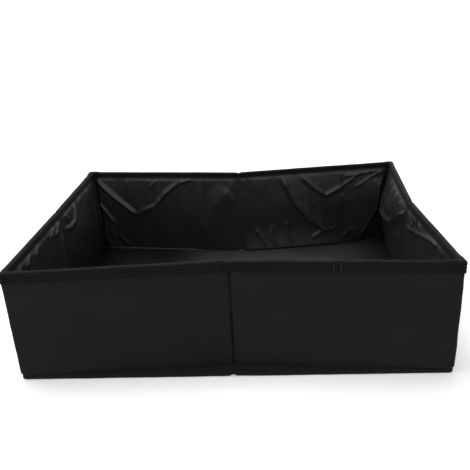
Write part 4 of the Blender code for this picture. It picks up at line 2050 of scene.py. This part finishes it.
    def _wave(self, vert: BMVert, turn: int) -> None:
        """Gives a point the cover's unevenness, and lifts the underside at the middle crease.

        Args:
            vert: The point.
            turn: -1 for the front half of the base and 1 for the back half.
        """
        point = vert.co.copy()
        low_top, high_top = (share * self.plan.base_top for share in self.under)
        low = 1 - smooth(low_top, high_top, point.z)
        crease = smooth(self.crease_half_width, 0.0, abs(point.x))
        bump = smooth(self.bump_half_width, 0.0, abs(point.x - self.bump_at)) if turn < 0 else 0.0
        vert.co.z += max(self.crease_lift * crease, self.bump_lift * bump) * low
        calm = rise(self.fold_reach, abs(point.y))
        waves = self.waves * (ripple(point, self.wave_size) - self.wave_bias) * calm
        vert.co += self.outward(point) * waves * (1 - low * self.under_calm)
        if point.z > high_top:
            vert.co.z -= self.border_waves * abs(ripple(point, self.border_size)) * calm


class Boards:
    """The stiff boards, which keep the solids' shapes."""

    def dress(self, finishes: Finishes) -> list[Object]:
        """Gives every board the board's finish.

        Args:
            finishes: The materials.

        Returns:
            The boards.
        """
        boards = [obj for name, obj in frame["nodes"].items() if "board_" in name]
        for obj in boards:
            for slot in obj.material_slots:
                slot.material = finishes.board
        return boards


@dataclass
class Studio:
    """A plain pale floor under soft lamps, and the photograph's camera."""

    camera_place: Triple = (0.0357, -0.6053, 0.3362)
    yaw: float = -0.0603
    pitch: float = 0.4018
    roll: float = -0.0525
    focal_pixels: float = 597.1
    image_pixels: float = 470.0
    sensor: float = 36.0
    floor_size: float = 6.0
    floor_colours: tuple[Triple, Triple] = ((0.86, 0.86, 0.86), (0.88, 0.88, 0.88))
    floor_patch: float = 0.5
    floor_roughness: float = 0.9
    floor_gloss: float = 0.1
    floor_lift: float = 0.22
    far_lift: float = 0.8
    far_reach: Span = (0.5, 1.8)
    sky: float = 0.55
    aim: Triple = (0.0, 0.0, 0.05)
    lamps: tuple[tuple[str, Triple, float, float], ...] = (
        ("broad lamp over the box", (-0.45, 0.35, 1.9), 1.3, 28.0),
        ("soft lamp in front", (0.30, -2.0, 1.0), 2.0, 17.0),
        ("soft lamp on the left", (-2.0, -0.3, 1.0), 1.6, 7.0),
        ("soft lamp behind", (0.4, 2.0, 1.2), 1.6, 8.0),
    )

    def build(self) -> None:
        """Makes the floor, the world, the lamps and the camera."""
        scene = bpy.context.scene
        scene.view_settings.view_transform = "Standard"
        self.add_floor()
        self.add_world(scene)
        for lamp in self.lamps:
            self.add_lamp(*lamp)
        self.add_camera(scene)

    def add_floor(self) -> None:
        """Makes the floor, white to the camera but for the box's shadow."""
        bm = bmesh.new()
        bmesh.ops.create_grid(bm, x_segments=1, y_segments=1, size=self.floor_size)
        graph = ShaderGraph("pale floor")
        seen = graph.signal("ShaderNodeLightPath", None, None, "Is Camera Ray")
        material = graph.finish(
            Base_Color=graph.blend(graph.clouds(self.floor_patch), *self.floor_colours),
            Roughness=self.floor_roughness,
            Specular_IOR_Level=self.floor_gloss,
        )
        far = graph.length(graph.place())
        lift = graph.fade(far, *self.far_reach) * self.far_lift + self.floor_lift
        glow = graph.signal("ShaderNodeEmission", None, {"Color": WHITE, "Strength": lift})
        clear = graph.signal("ShaderNodeEmission", None, {"Strength": 0.0})
        chosen = graph.signal("ShaderNodeMixShader", None, {0: seen, 1: clear, 2: glow})
        lit = Signal(graph, graph.shader.outputs[0])
        joined = graph.signal("ShaderNodeAddShader", None, {0: lit, 1: chosen})
        graph.feed(graph.tree.nodes["Material Output"].inputs[0], joined)
        add_object("studio_floor", bm, material)

    def add_world(self, scene: bpy.types.Scene) -> None:
        """Makes the world: white to the camera and in gloss, dimmer as a light."""
        world = bpy.data.worlds.new("white room")
        scene.world = world
        world.use_nodes = True
        nodes, links = world.node_tree.nodes, world.node_tree.links
        rays = nodes.new("ShaderNodeLightPath")
        both = nodes.new("ShaderNodeMath")
        both.operation = "MAXIMUM"
        for number, kind in enumerate(("Is Camera Ray", "Is Glossy Ray")):
            links.new(rays.outputs[kind], both.inputs[number])
        strength = nodes.new("ShaderNodeMapRange")
        strength.inputs["To Min"].default_value = self.sky
        strength.inputs["To Max"].default_value = 1.0
        links.new(both.outputs[0], strength.inputs["Value"])
        links.new(strength.outputs[0], nodes["Background"].inputs["Strength"])
        nodes["Background"].inputs["Color"].default_value = (*WHITE, 1.0)

    def add_lamp(self, name: str, place: Triple, size: float, power: float) -> None:
        """Makes one square soft lamp, turned toward the box.

        Args:
            name: The lamp's name.
            place: Where it hangs.
            size: Its side, in metres.
            power: Its power, in watts.
        """
        data = bpy.data.lights.new(name, "AREA")
        data.size, data.energy = size, power
        lamp = bpy.data.objects.new(name, data)
        bpy.context.collection.objects.link(lamp)
        lamp.location = place
        lamp.rotation_euler = (Vector(self.aim) - Vector(place)).to_track_quat("-Z", "Y").to_euler()

    def add_camera(self, scene: bpy.types.Scene) -> None:
        """Makes the camera at the photograph's place and turn."""
        data = bpy.data.cameras.new("camera")
        data.sensor_width = self.sensor
        data.lens = self.focal_pixels / self.image_pixels * self.sensor
        camera = bpy.data.objects.new("camera", data)
        bpy.context.collection.objects.link(camera)
        level, drop = math.cos(self.pitch), math.sin(self.pitch)
        ahead = Vector((math.sin(self.yaw) * level, math.cos(self.yaw) * level, -drop))
        right = Vector((math.cos(self.yaw), -math.sin(self.yaw), 0.0))
        above = right.cross(ahead)
        turned_right = right * math.cos(self.roll) + above * math.sin(self.roll)
        turned_up = above * math.cos(self.roll) - right * math.sin(self.roll)
        turn = Matrix((turned_right, turned_up, -ahead)).transposed().to_4x4()
        turn.translation = self.camera_place
        camera.matrix_world = turn
        scene.camera = camera


def main() -> None:
    """Builds and dresses the box, lights it and reports each piece."""
    logging.basicConfig(level=logging.INFO, format="%(message)s")
    plan, finishes = RingPlan(), Finishes.make()
    halves = plan.halves()
    pieces = BaseCover(plan, finishes).build()
    pieces += OuterFabric(plan, finishes).build(halves)
    pieces += RimBinding(plan, finishes).build(halves)
    pieces += Lining(plan, finishes).build(halves)
    pieces += Boards().dress(finishes)
    Studio().build()
    for piece in pieces:
        LOG.info("%s: %d faces", piece.name, len(piece.data.polygons))


if __name__ == "__main__":
    main()
